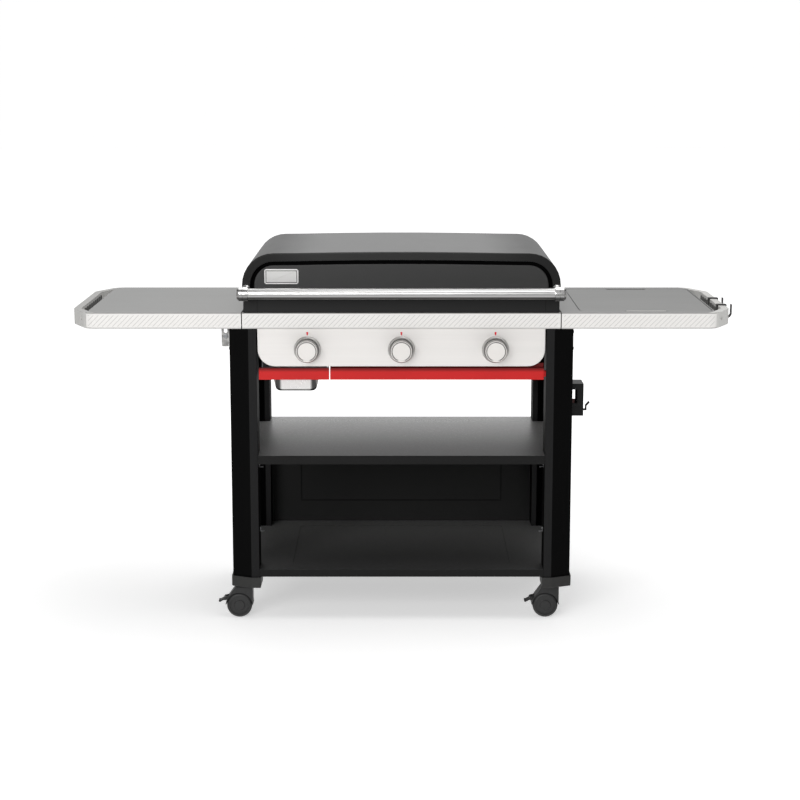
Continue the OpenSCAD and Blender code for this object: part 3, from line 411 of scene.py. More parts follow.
class Finish:
    """A node material: one Principled shader whose inputs are built from values."""

    def __init__(self, name, **constants):
        self.material = self.owner(name)
        self.material.use_nodes = True
        self.tree = self.material.node_tree
        self.shader = next(n for n in self.tree.nodes if n.type in ("BSDF_PRINCIPLED", "BACKGROUND"))
        self.feed(self.shader, constants)
        self.place = self.add("TexCoord", output=self.place_output)

    owner, place_output = bpy.data.materials.new, "Object"

    def feed(self, node, inputs):
        for key, value in inputs.items():
            socket = node.inputs[key]
            if isinstance(value, Value):
                self.tree.links.new(value.socket, socket)
            elif isinstance(value, (tuple, list)) and socket.type == "RGBA":
                socket.default_value = (*value[:3], 1.0)
            else:
                socket.default_value = value

    def add(self, kind, settings=None, inputs=None, output=0):
        """A node of a kind, with its settings, then its inputs. Gives one of its outputs."""
        node = self.tree.nodes.new("ShaderNode" + kind)
        for key, value in (settings or {}).items():
            setattr(node, key, value)
        self.feed(node, inputs or {})
        return Value(self, node.outputs[output])

    def maths(self, operation, *values):
        return self.add("Math", {"operation": operation}, dict(enumerate(values)))

    def axis(self, name):
        """The X, Y or Z of a point of the piece, in metres."""
        return self.add("SeparateXYZ", None, {0: self.place}, name)

    def scaled(self, factors):
        """The place on the piece, stretched along each axis."""
        return self.add("VectorMath", {"operation": "MULTIPLY"}, {0: self.place, 1: factors})

    def noise(self, scale, detail=2.0, rough=0.5, stretch=(1, 1, 1)):
        """Cloudy noise from 0 to 1, with that many grains a metre."""
        return self.add("TexNoise", None, {"Vector": self.scaled(stretch), "Scale": scale, "Detail": detail,
                                           "Roughness": rough})

    def cells(self, scale, output="Color"):
        """Flat cells, as in a galvanised or crackled surface."""
        return self.add("TexVoronoi", None, {"Vector": self.place, "Scale": scale}, output)

    def blend(self, factor, first, second):
        """One colour where the factor is 0 and another where it is 1."""
        return self.add("Mix", {"data_type": "RGBA"}, {0: factor, 6: first, 7: second}, 2)

    def shade(self, base, amount):
        """A colour made lighter or darker by an amount that is 1 where it stays."""
        tone = self.add("CombineXYZ", None, {0: amount, 1: amount, 2: amount})
        return self.add("VectorMath", {"operation": "MULTIPLY"}, {0: tone, 1: base})

    def relief(self, height, depth, strength=1.0):
        """A Bump node whose full height is a depth in metres."""
        return self.add("Bump", None, {"Height": height, "Distance": depth, "Strength": strength})

    def use(self, **inputs):
        """Feeds the shader, and gives the finished material. An underscore in a name stands for a space."""
        self.feed(self.shader, {key.replace("_", " "): value for key, value in inputs.items()})
        return self.material


class Air(Finish):
    """The light from all round, which may differ from one direction to another."""
    owner, place_output = bpy.data.worlds.new, "Generated"


def tone(base, amount):
    """A colour multiplied by a number, worked out here."""
    return tuple(min(1.0, c * amount) for c in base[:3])


# ---- finishes --------------------------------------------------------------


def powder_coat(name, base, rough=0.5, grain=900, speckle=0.12, depth=0.00006, specular=0.5):
    """Powder coat: a fine orange peel with a few paler grains and slow changes of shade."""
    f = Finish(name, **{"Specular IOR Level": specular})
    peel = f.noise(grain, 3.0, 0.6)
    slow = f.noise(3.5, 3.0, 0.5)
    dust = f.noise(grain * 0.45, 1.0, 0.5).rise(0.60, 0.78)
    lit = f.blend(dust * speckle * 4.0, f.shade(base, 0.88 + 0.24 * slow), tone(base, 2.6))
    worn = f.noise(30, 4.0, 0.65)
    return f.use(Base_Color=lit, Roughness=rough - 0.08 + 0.10 * worn + 0.06 * peel,
                 Normal=f.relief(peel, depth, 0.7))


def pressed_sheet(name, base, settings):
    """Powder coat on the back panel, with the dark line of shade round its pressed field."""
    f = Finish(name, **{"Specular IOR Level": 0.4})
    low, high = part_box("back_panel")
    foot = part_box("bottom_shelf")[1].z
    across = (high.x - settings.field_side) - abs(f.axis("X"))
    z = f.axis("Z")
    up = (z - (foot + settings.field_edge)).maths("MINIMUM", (high.z - settings.field_edge) - z)
    depth = abs(across.maths("MINIMUM", up))
    line = 1.0 - depth.rise(0.0012, 0.0034)
    peel = f.noise(800, 3.0, 0.6)
    slow = f.noise(3.5, 3.0, 0.5)
    lit = f.shade(base, (0.85 + 0.3 * slow) * (1.0 - 0.8 * line) * (0.9 + 0.2 * peel))
    return f.use(Base_Color=lit, Roughness=0.46 + 0.10 * slow + 0.2 * line, Normal=f.relief(peel, 0.00006, 0.6))


def red_paint(name, base):
    """Glossy red powder coat, darker along the top where the panel above shades it."""
    f = Finish(name, **{"Specular IOR Level": 0.3})
    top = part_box("drawer_front")[1].z
    peel = f.noise(900, 3.0, 0.6)
    slow = f.noise(3.5, 3.0, 0.5)
    shaded = f.axis("Z").rise(top - 0.013, top - 0.001)
    return f.use(Base_Color=f.shade(base, (0.92 + 0.16 * slow) * (1.0 - 0.70 * shaded)),
                 Roughness=0.32 + 0.10 * slow + 0.06 * peel, Normal=f.relief(peel, 0.00003, 0.7))


def shelf_coat(name, node, base, back, front, rough, grain=640):
    """Powder coat on a shelf's top with painted light: many times paler towards the rear, standing for the light it
    reflects there, and smoother towards the rear, with fine pale grains.
    """
    f = Finish(name, **{"Specular IOR Level": 0.85})
    low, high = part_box(node)
    far = f.axis("Y").rise(low.y, high.y)
    peel = f.noise(grain, 3.0, 0.6)
    slow = f.noise(3.0, 3.0, 0.5)
    dust = f.noise(grain * 0.5, 1.0, 0.5).rise(0.56, 0.74)
    # painted light: the shelf paint made front times paler at the front and back times paler at the rear
    painted_light_level = (front + (back - front) * far) * (0.90 + 0.2 * slow)
    lit = f.shade(base, painted_light_level * (0.8 + 0.4 * peel + 0.9 * dust))
    return f.use(Base_Color=lit, Roughness=rough + 0.20 * (1.0 - far) + 0.05 * peel,
                 Normal=f.relief(peel, 0.00008, 0.6))


def smooth_paint(name, base, rough, coat=0.0, peel_depth=0.00003, specular=0.5):
    """A smooth sprayed finish with a slight peel and faint wipe marks."""
    f = Finish(name, **{"Coat Weight": coat, "Coat Roughness": 0.12, "Specular IOR Level": specular})
    peel = f.noise(320, 2.0, 0.5)
    slow = f.noise(2.2, 2.0, 0.5)
    wipe = f.noise(14, 5.0, 0.7, (1.0, 0.35, 1.0))
    return f.use(Base_Color=f.shade(base, 0.92 + 0.16 * slow), Roughness=rough - 0.05 + 0.10 * wipe,
                 Normal=f.relief(peel, peel_depth, 0.5))


def brushed_steel(name, base, rough, grain=(2.0, 900.0, 900.0), metal=1.0, streak=0.10, extra=None):
    """Brushed sheet: long fine scratches along one axis, with broad pale bands and faint smears."""
    f = Finish(name)
    scratch = f.noise(1.0, 4.0, 0.7, grain)
    broad = f.noise(1.0, 2.0, 0.5, tuple(g * 0.06 for g in grain))
    smear = f.noise(5.0, 4.0, 0.6)
    lit = f.shade(base, 1.0 - streak + streak * (scratch + broad))
    if extra:
        lit = extra(f, lit)
    return f.use(Base_Color=lit, Metallic=f.noise(2.0) * 0.04 + (metal - 0.04),
                 Roughness=rough - 0.09 + 0.12 * scratch + 0.07 * smear,
                 Normal=f.relief(scratch, 0.00002, 0.55))


def lid_coat(name, base, rough):
    """Satin lid paint under a clear coat that thins towards the rounded corners."""
    f = Finish(name, **{"Coat Roughness": rough, "Specular IOR Level": 0.12})
    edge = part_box("lid_shell")[1].x
    peel = f.noise(320, 2.0, 0.5)
    slow = f.noise(2.2, 2.0, 0.5)
    wipe = f.noise(14, 5.0, 0.7, (1.0, 0.35, 1.0))
    clear = 1.0 - 0.80 * abs(f.axis("X")).rise(edge - 0.24, edge - 0.045)
    return f.use(Base_Color=f.shade(base, 0.92 + 0.16 * slow), Roughness=rough - 0.05 + 0.10 * wipe,
                 Coat_Weight=clear * (0.74 + 0.08 * wipe), Normal=f.relief(peel, 0.00002, 0.4))


def hatched_band(name, settings, z0, z1):
    """Light band paint with slanting printed lines, kept clear of the band's edges and of the joints."""
    f = Finish(name)
    x, z = f.axis("X"), f.axis("Z")
    line = ((x - z) / settings.hatch_pitch).fraction()
    half = settings.hatch_line / settings.hatch_pitch / 2
    near = abs(line - 0.5)
    printed = 1.0 - near.rise(half * 0.75, half * 1.25)
    margin = settings.hatch_margin
    inside = (z > z0 + margin) * (z < z1 - margin)
    joint = (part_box("left_table_bands")[1].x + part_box("front_rail")[0].x) / 2
    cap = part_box("left_table_bands")[0].x
    clear = (abs(abs(x) + joint) > margin + 0.002) * (abs(x) < -cap - margin)
    fine = f.noise(700, 3.0, 0.6)
    slow = f.noise(2.5, 2.0, 0.5)
    ground = f.shade(tuple(settings.band), 0.95 + 0.08 * slow)
    mask = printed * inside * clear
    # Painted shade: a dark line along the band's top under the table's edge, and a darker strip along its bottom.
    painted_edge_shade = z.rise(z1 - 0.0030, z1 - 0.0016) * 0.55 + (1.0 - z.rise(z0 + 0.0022, z0 + 0.0048)) * 0.40
    lit = f.shade(f.blend(mask * (0.75 + 0.3 * fine), ground, tuple(settings.hatch)), 1.0 - painted_edge_shade)
    return f.use(Base_Color=lit, Roughness=0.42 + 0.08 * fine + 0.10 * mask, Metallic=0.15 * slow,
                 Normal=f.relief(fine * 0.4 + mask, 0.00004, 0.5))


def moulded(name, base, rough=0.5, grain=1400, depth=0.00005, specular=0.5):
    """Moulded plastic: an even eroded texture, faint flow marks and slightly paler high spots."""
    f = Finish(name, **{"Specular IOR Level": specular})
    skin = f.noise(grain, 4.0, 0.65)
    flow = f.noise(6.0, 3.0, 0.6, (1.0, 2.0, 0.6))
    return f.use(Base_Color=f.shade(base, 0.90 + 0.12 * skin + 0.10 * flow), Roughness=rough - 0.05 + 0.12 * skin,
                 Normal=f.relief(skin, depth, 0.7))


def polished(name, base, rough, grain=(2.0, 500.0, 500.0), extra=None):
    """Polished metal with hairline marks and a few finger smears."""
    f = Finish(name, Metallic=1.0)
    hair = f.noise(1.0, 4.0, 0.75, grain)
    smear = f.noise(22, 4.0, 0.6).rise(0.45, 0.8)
    lit = f.shade(base, 0.95 + 0.07 * hair)
    if extra:
        return f.use(Base_Color=extra(f, lit), Roughness=rough + 0.06 * smear)
    return f.use(Base_Color=lit, Roughness=rough + 0.05 * hair + 0.06 * smear,
                 Normal=f.relief(hair, 0.000004, 0.2))


def round_bar(f, lit):
    """Darker along the underside of the handle and along a thin line near its top, where it sees no light."""
    low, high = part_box("handle_tube")
    up = (f.axis("Z") - (low.z + high.z) / 2) / ((high.z - low.z) / 2)
    under = 1.0 - up.rise(-0.62, -0.20)
    line = up.rise(0.60, 0.72) * (1.0 - up.rise(0.84, 0.95))
    return f.shade(lit, 1.0 - 0.88 * under - 0.70 * line)


def cup_painted_light(f, lit):
    """Painted reflection and shade: bright in the middle of the cup's front and dark towards its corners and its
    foot.
    """
    low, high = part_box("drip_cup")
    side = abs(f.axis("X") - (low.x + high.x) / 2) / ((high.x - low.x) / 2)
    foot = 1.0 - f.axis("Z").rise(low.z + 0.003, low.z + 0.009)
    return f.shade(lit, 1.0 - 0.93 * side.rise(0.60, 0.74) * (1.0 - 0.5 * side.rise(0.86, 0.93)) - 0.9 * foot)


def galvanised(name, base):
    """Galvanised sheet: flat crystals of slightly different greys."""
    f = Finish(name, Metallic=0.95)
    spangle = f.add("SeparateColor", None, {0: f.cells(110)}, 0)
    fine = f.noise(600, 3.0, 0.6)
    return f.use(Base_Color=f.shade(base, 0.80 + 0.28 * spangle + 0.10 * fine), Roughness=0.28 + 0.22 * spangle,
                 Normal=f.relief(fine, 0.00002, 0.4))


def seasoned_plate(name, base):
    """A carbon steel griddle: dark oil film, mottled patches and scraper marks."""
    f = Finish(name, **{"Coat Weight": 0.15, "Coat Roughness": 0.3})
    patch = f.noise(9.0, 6.0, 0.65)
    fine = f.noise(260, 4.0, 0.7)
    scrape = f.noise(1.0, 3.0, 0.7, (260.0, 5.0, 260.0)).rise(0.62, 0.75)
    burnt = tone((base[0] * 1.25, base[1] * 1.05, base[2] * 0.85), 1.6)
    film = f.blend(patch.rise(0.40, 0.66), tone(base, 0.55), burnt)
    lit = f.blend(scrape * 0.35, film, tone(base, 3.2))
    return f.use(Base_Color=lit, Metallic=0.55 + 0.25 * scrape, Roughness=0.34 + 0.24 * patch,
                 Normal=f.relief(fine + patch * 0.6, 0.0001, 0.5))


def enamel_box(name, base):
    """Black enamelled sheet with a vertical seam near each front corner."""
    f = Finish(name, **{"Coat Weight": 0.04, "Coat Roughness": 0.25, "Specular IOR Level": 0.3})
    x, y = abs(f.axis("X")), f.axis("Y")
    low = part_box("cook_box")[0]
    seam = (1.0 - abs(x - (-low.x - 0.040)).rise(0.0004, 0.0011)) * (y < low.y + 0.004)
    peel = f.noise(400, 3.0, 0.5)
    slow = f.noise(4.0, 3.0, 0.5)
    lit = f.blend(seam * 0.85, f.shade(base, 0.9 + 0.2 * slow), (0.002, 0.002, 0.002))
    return f.use(Base_Color=lit, Roughness=0.42 + 0.10 * slow + 0.3 * seam,
                 Normal=f.relief(peel * 0.2 - seam, 0.0003, 0.4))


def cast_brass(name, base):
    """Brass with a cast skin and darker hollows."""
    f = Finish(name, Metallic=1.0)
    skin = f.noise(420, 4.0, 0.6)
    dull = f.noise(45, 3.0, 0.6)
    return f.use(Base_Color=f.blend(dull.rise(0.35, 0.7), base, tone(base, 0.62)), Roughness=0.30 + 0.2 * dull,
                 Normal=f.relief(skin, 0.00006, 0.5))


FINISHES = {}


def of(maker, *values, **more):
    """A finish to be made once its name is known."""
    return lambda name: maker(name, *values, **more)


def finish(name):
    """The material of that name, made once from the settings."""
    if name in FINISHES:
        return FINISHES[name]
    scene = bpy.context.scene
    table, lid, controls, cart = scene.grill_tables, scene.grill_lid, scene.grill_controls, scene.grill_cart
    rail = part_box("front_rail")
    makers = {
        "leg_coat": of(powder_coat, tuple(cart.black), 0.42, 1000, 0.04, specular=0.06),
        # painted shade: the leg paint at a sixth of its brightness, for the legs' slanted faces
        "leg_side": of(powder_coat, tone(tuple(cart.black), 0.16), 0.5, 1000, 0.04, specular=0.05),
        # painted light on the shelf tops: the shelf paint made 3.4 to 18 and 1.4 to 8.5 times paler, rising towards
        # the rear
        "shelf_coat": of(shelf_coat, "middle_shelf", tuple(cart.shelf), 18.0, 3.4, 0.24),
        "low_shelf_coat": of(shelf_coat, "bottom_shelf", tuple(cart.shelf), 8.5, 1.4, 0.42),
        # painted shade: the shelf paint at about half its brightness, for the shelves' edges and undersides
        "shelf_edge": of(powder_coat, tone(tuple(cart.shelf), 0.55), 0.5, 800, 0.08, specular=0.15),
        # painted shade: the rear sheet takes the shelf paint at 0.3 of its brightness
        "back_coat": of(pressed_sheet, tone(tuple(cart.shelf), 0.30), cart),
        "foot_plastic": of(moulded, tuple(cart.foot), 0.55),
        "caster_plastic": of(moulded, tuple(cart.caster), 0.46),
        "wheel_plastic": of(moulded, tone(tuple(cart.caster), 1.1), 0.5, 1100),
        "zinc": of(polished, (0.55, 0.56, 0.57), 0.3),
        "band_paint": of(hatched_band, table, rail[0].z, rail[1].z),
        "table_steel": of(brushed_steel, tuple(table.steel), 0.36, (3.0, 700.0, 700.0)),
        # painted shade: the board and the right top take the table steel at 0.69 and 0.70, darker than the left top
        "board_steel": of(brushed_steel, tone(tuple(table.steel), 0.69), 0.38, (3.0, 640.0, 640.0)),
        "right_steel": of(brushed_steel, tone(tuple(table.steel), 0.70), 0.37, (3.0, 700.0, 700.0)),
        "left_cap_plastic": of(moulded, tuple(table.cap), 0.48, 1200),
        # painted light: the right cap is the cap plastic made 1.22 times paler than the left
        "right_cap_plastic": of(moulded, tone(tuple(table.cap), 1.22), 0.46, 1200),
        # painted light: the cap plastic made 1.5 times paler, for the lit wall of each finger notch
        "liner_plastic": of(moulded, tone(tuple(table.cap), 1.5), 0.5, 1200),
        # painted shade: the cap plastic darkened to about a fifth, for the dark sheet and ribs inside the grips,
        # and also the colour of the cap screws
        "rib_plastic": of(moulded, tone(tuple(table.cap), 0.22), 0.6, 1200),
        "panel_steel": of(brushed_steel, tuple(controls.panel), 0.40, (4.0, 800.0, 800.0), 0.35, 0.07),
        "knob_metal": of(smooth_paint, tuple(controls.knob), 0.42),
        # painted shade: the knob metal at half its brightness, for the knobs' sides
        "knob_side": of(brushed_steel, tone(tuple(controls.knob), 0.52), 0.36, (60.0, 900.0, 60.0), 0.5, 0.08),
        # painted shade: dark lines on the knobs
        "knob_line": of(smooth_paint, (0.10, 0.098, 0.095), 0.5),
        "ring_metal": of(brushed_steel, tuple(controls.ring), 0.34, (90.0, 90.0, 90.0), 0.8, 0.06),
        "red_coat": of(red_paint, tuple(controls.red)),
        "mark_red": of(smooth_paint, tuple(controls.mark), 0.35),
        "runner_zinc": of(galvanised, (0.42, 0.43, 0.44)),
        "enamel": of(enamel_box, (0.010, 0.010, 0.010)),
        "griddle_film": of(seasoned_plate, (0.030, 0.028, 0.026)),
        "burner_steel": of(brushed_steel, (0.42, 0.40, 0.38), 0.45, (300.0, 4.0, 300.0)),
        "pipe_steel": of(brushed_steel, (0.48, 0.48, 0.48), 0.35, (4.0, 300.0, 300.0)),
        "valve_brass": of(cast_brass, (0.66, 0.47, 0.18)),
        "lid_paint": of(lid_coat, tuple(lid.paint), 0.34),
        # painted shade: near black for the groove round the lid's front panel
        "groove_black": of(smooth_paint, (0.0012, 0.0012, 0.0012), 0.75, specular=0.05),
        "lid_panel_paint": of(smooth_paint, tuple(lid.panel), 0.40),
        "handle_metal": of(polished, tuple(lid.handle), 0.30, (0.0, 0.0, 1.0), extra=round_bar),
        "handle_end_metal": of(brushed_steel, tone(tuple(lid.handle), 0.86), 0.26,
                                                  (260.0, 30.0, 30.0), 1.0, 0.05, round_bar),
        "badge_metal": of(brushed_steel, (0.86, 0.85, 0.84), 0.3, (6.0, 500.0, 500.0), 0.3, 0.05),
        "badge_field": of(brushed_steel, (0.70, 0.695, 0.685), 0.38, (6.0, 500.0, 500.0), 0.3, 0.06),
        "badge_line": of(smooth_paint, (0.05, 0.05, 0.05), 0.5),
        "cup_steel": of(brushed_steel, (0.84, 0.83, 0.82), 0.25, (500.0, 500.0, 3.0), 0.3, 0.05, cup_painted_light),
        "hook_coat": of(powder_coat, (0.012, 0.012, 0.012), 0.40, 1300, 0.03),
        "marker_plastic": of(moulded, (0.09, 0.022, 0.02), 0.42, 1600),
        "bracket_zinc": of(galvanised, (0.66, 0.655, 0.64)),
    }
    FINISHES[name] = makers[name](name)
    return FINISHES[name]


# ---- stage -----------------------------------------------------------------


class GRILL_OT_stage(bpy.types.Operator):
    """Adds the floor, the backdrop, the lights and the camera"""
    bl_idname = "grill.stage"
    bl_label = "Stage"

    def area(self, name, at, aim, size, power, tint=(1, 1, 1)):
        put_away()
        bpy.ops.object.light_add(type="AREA", location=at)
        lamp = bpy.context.active_object
        lamp.name = lamp.data.name = name
        lamp.rotation_mode = "QUATERNION"
        lamp.rotation_quaternion = (Vector(aim) - Vector(at)).to_track_quat("-Z", "Y")
        lamp.data.shape = "RECTANGLE"
        lamp.data.size, lamp.data.size_y = size
        lamp.data.energy = power
        lamp.data.color = tint
        return lamp

    def execute(self, context):
        scene = context.scene
        s = scene.grill_stage
        put_away()
        bpy.ops.mesh.primitive_plane_add(size=60, location=(0, 0, -0.0005))
        floor = context.active_object
        floor.name = "studio_floor"
        bpy.ops.object.transform_apply(location=True, rotation=True, scale=True)
        pale = Finish("studio_floor_paint", Roughness=0.95, **{"Specular IOR Level": 0.0})
        cloud = pale.noise(0.4, 2.0, 0.5)
        # Painted shade on the floor: its glow is weaker near the grill's middle and stronger far out, so the floor
        # is painted dimmer round the grill.
        near_ring, far_ring = 0.9, 3.2
        away = pale.add("VectorMath", {"operation": "LENGTH"}, {0: pale.place}, "Value").rise(near_ring, far_ring)
        painted_floor_light = pale.shade((1.0, 1.0, 1.0), 0.475 + 0.46 * away)
        paint(floor, pale.use(Base_Color=pale.shade(tuple(s.floor), 0.99 + 0.02 * cloud),
                              Emission_Color=painted_floor_light, Emission_Strength=1.0))
        floor.visible_glossy = False
        bpy.ops.mesh.primitive_uv_sphere_add(segments=48, ring_count=24, radius=28)
        sky = context.active_object
        sky.name = "studio_backdrop"
        white = Finish("studio_backdrop_paint", Roughness=1.0)
        paint(sky, white.use(Base_Color=(0.0, 0.0, 0.0), Emission_Color=(1.0, 1.0, 1.0), Emission_Strength=1.0))
        for ray in ("diffuse", "glossy", "transmission", "shadow", "volume_scatter"):
            setattr(sky, "visible_" + ray, False)

        air = Air("studio_air", Color=(1.0, 1.0, 1.0))
        x = air.axis("X")
        behind = air.axis("Y").rise(0.30, 0.85) * (1.0 - 0.16 * x) * (1.0 - 0.75 * abs(x).rise(0.22, 0.6))
        below = (-air.axis("Z")).rise(0.25, 0.75)
        scene.world = air.use(Strength=s.room + s.behind * behind + s.below * below)
        self.area("top_box", (0.6, 0.2, 3.6), (0, 0, 0.6), (4.2, 3.0), s.top_light)
        self.area("front_box", (-2.1, -6.0, 2.9), (0, 0, 0.7), (4.0, 2.6), s.front_light)

        bpy.ops.object.camera_add(location=(-0.004, -s.camera_back, s.camera_height),
                                  rotation=(math.pi / 2 - s.camera_tilt, 0, 0))
        eye = context.active_object
        eye.name = "main_camera"
        eye.data.sensor_width = 36
        eye.data.lens = s.lens
        eye.data.clip_end = 200
        scene.camera = eye
        scene.view_settings.view_transform = "Standard"
        return {"FINISHED"}


# ---- cart --------------------------------------------------------------------


class GRILL_OT_legs(bpy.types.Operator):
    """Makes the four folded legs, the side rails and the rear rail"""
    bl_idname = "grill.legs"
    bl_label = "Legs and rails"

    def execute(self, context):
        edge = context.scene.grill_cart.sheet_edge
        for end in ("front", "rear"):
            for side in ("left", "right"):
                piece = copy_of(f"leg_{end}_{side}", f"{end}_leg_{side}")
                round_edges(piece, lambda a, b, n: is_sharp(n, 0.3) and abs(a.z - b.z) > 0.3, edge)
                done(piece, "cart", "leg_coat", [f"leg_{end}_{side}"])
                # Painted shade: the slanted side faces of each leg are painted darker than its front.
                repaint(piece, "leg_side", lambda c, n: abs(n.x) > 0.3)
        softened("side_rails", "leg_ties", "leg_coat", edge * 0.7)
        softened("rear_rail", "rear_cross_rail", "leg_coat", edge * 0.7)
        return {"FINISHED"}


class GRILL_OT_feet(bpy.types.Operator):
    """Makes the moulded foot caps and gives the caster stems their finish"""
    bl_idname = "grill.feet"
    bl_label = "Foot caps"

    def execute(self, context):
        piece = copy_of("foot_caps", "moulded_feet")
        round_edges(piece, lambda a, b, n: is_sharp(n, 0.35) and
                    (abs(a.z - b.z) > 0.02 or max(a.z, b.z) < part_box("foot_caps")[0].z + 0.001) and
                    (a - b).length > 0.012, 0.0028)
        done(piece, "cart", "foot_plastic", ["foot_caps"])
        dress("zinc", "caster_stems")
        return {"FINISHED"}


class GRILL_OT_shelves(bpy.types.Operator):
    """Makes the two shelves and the back panel"""
    bl_idname = "grill.shelves"
    bl_label = "Shelves and back"

    def execute(self, context):
        edge = context.scene.grill_cart.sheet_edge
        for node, name, coat in (("middle_shelf", "upper_shelf", "shelf_coat"),
                                 ("bottom_shelf", "lower_shelf", "low_shelf_coat"),
                                 ("back_panel", "rear_sheet", "back_coat")):
            piece = softened(node, name, coat, edge * 0.75)
            if coat != "back_coat":
                # Painted shade: the faces of a shelf that do not face up take a darker copy of the shelf paint.
                repaint(piece, "shelf_edge", lambda c, n: n.z < 0.8)
        return {"FINISHED"}


class GRILL_OT_clips(bpy.types.Operator):
    """Makes the small angle clips that hold the shelves to the legs"""
    bl_idname = "grill.clips"
    bl_label = "Shelf clips"

    def clip(self, x, y, z, side, leaf):
        """One angle: a leaf on the leg, a leaf under the shelf and a screw."""
        sheet = 0.0016
        low, high = sorted((x, x - side * leaf))
        flat = block("clip_flat", (low, y, z), (high, y + leaf, z + sheet))
        low, high = sorted((x, x - side * sheet))
        upright = block("clip_upright", (low, y, z), (high, y + leaf, z + leaf))
        head = turned("clip_screw", [(0.0034, 0), (0.0034, 0.0012), (0.0024, 0.0022)],
                      (x - side * 0.0015, y + leaf / 2, z + leaf * 0.62), "-X" if side > 0 else "+X", 20)
        angle = joined("clip", [flat, upright, head])
        soften(angle, 0.0004, 1)
        return angle

    def execute(self, context):
        leaf = context.scene.grill_cart.clip
        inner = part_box("back_panel")[1].x - 0.0004
        front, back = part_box("leg_front_left"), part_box("leg_rear_left")
        shelf_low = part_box("middle_shelf")[0].z - 0.0018
        made = []
        for side in (-1, 1):
            for y in (front[0].y + 0.030, back[1].y - 0.052):
                made.append(self.clip(side * inner, y, shelf_low - leaf, side, leaf))
            made.append(self.clip(side * inner, front[0].y + 0.034,
                                  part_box("bottom_shelf")[1].z + 0.108, side, leaf))
        done(joined("shelf_clips", made), "cart", "zinc")
        return {"FINISHED"}


class GRILL_OT_screws(bpy.types.Operator):
    """Makes the screw heads on the legs, each with a hexagon socket, and the slotted bracket"""
    bl_idname = "grill.screws"
    bl_label = "Screws and bracket"

    def execute(self, context):
        piece = copy_of("cart_screws", "button_screws")
        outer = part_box("leg_front_right")[1].x
        open_mesh(piece)
        found = pick_faces(piece, lambda c, n: (abs(n.x) > 0.99 and abs(c.x) > outer + 0.003) or
                           (n.y < -0.99 and abs(c.x) > outer))
        if not found:
            raise RuntimeError("the screw heads have no outer faces")
        bpy.ops.mesh.bevel(offset=0.0011, segments=3, affect="EDGES")
        bpy.ops.mesh.select_all(action="DESELECT")
        pick_faces(piece, lambda c, n: (abs(n.x) > 0.999 and abs(c.x) > outer + 0.003) or
                   (n.y < -0.999 and abs(c.x) > outer))
        bpy.ops.mesh.inset(thickness=0.0022, use_individual=True)
        bpy.ops.mesh.extrude_region_shrink_fatten(TRANSFORM_OT_shrink_fatten={"value": -0.0016})
        put_away()
        done(piece, "cart", "hook_coat", ["cart_screws"])
        low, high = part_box("left_table_bracket")
        repaint(piece, "zinc", lambda c, n: c.x < high.x and c.z > low.z)
        softened("left_table_bracket", "slotted_bracket", "bracket_zinc", 0.0005)
        return {"FINISHED"}


# ---- tables --------------------------------------------------------------------


class GRILL_OT_bands(bpy.types.Operator):
    """Makes the printed bands round the side tables and the front rail"""
    bl_idname = "grill.bands"
    bl_label = "Printed bands"

    def execute(self, context):
        for node, name in (("front_rail", "front_band"), ("left_table_bands", "left_bands"),
                           ("right_table_bands", "right_bands")):
            piece = copy_of(node, name)
            top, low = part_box(node)[1].z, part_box(node)[0].z
            round_edges(piece, lambda a, b, n: is_sharp(n) and abs(a.z - b.z) < NEAR and
                        (a - b).length > 0.05 and (a.z > top - NEAR or a.z < low + NEAR) and
                        max(m.y * (-1 if a.y < 0 else 1) for m in n) > 0.9, 0.0014, 3)
            done(piece, "cart", "band_paint", [node])
        return {"FINISHED"}


class GRILL_OT_tables(bpy.types.Operator):
    """Makes the brushed table tops and the lift-out board"""
    bl_idname = "grill.tables"
    bl_label = "Table tops and board"

    def execute(self, context):
        softened("left_table_top", "left_top", "table_steel", 0.0006)
        softened("right_table_top", "right_top", "right_steel", 0.0006)
        board = copy_of("prep_board", "lift_out_board")
        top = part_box("prep_board")[1].z
        round_edges(board, lambda a, b, n: is_sharp(n) and min(a.z, b.z) > top - NEAR, 0.0016, 3)
        done(board, "prep_board", "board_steel", ["prep_board"])
        self.notch_light_strips(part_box("prep_board"), top)
        return {"FINISHED"}

    def notch_light_strips(self, board, top):
        """A pale strip on the wall of each finger notch: painted light, standing for the light on the notch's wall.
        """
        low, high = board
        middle, half = (low.x + high.x) / 2, 0.058
        made = []
        for y in (low.y + 0.0118, high.y - 0.0130):
            made.append(block("liner", (middle - half, y, low.z + 0.001),
                              (middle + half, y + 0.0012, top - 0.0004)))
        liner = joined("notch_liners", made)
        soften(liner, 0.0003, 1)
        done(liner, "prep_board", "liner_plastic")


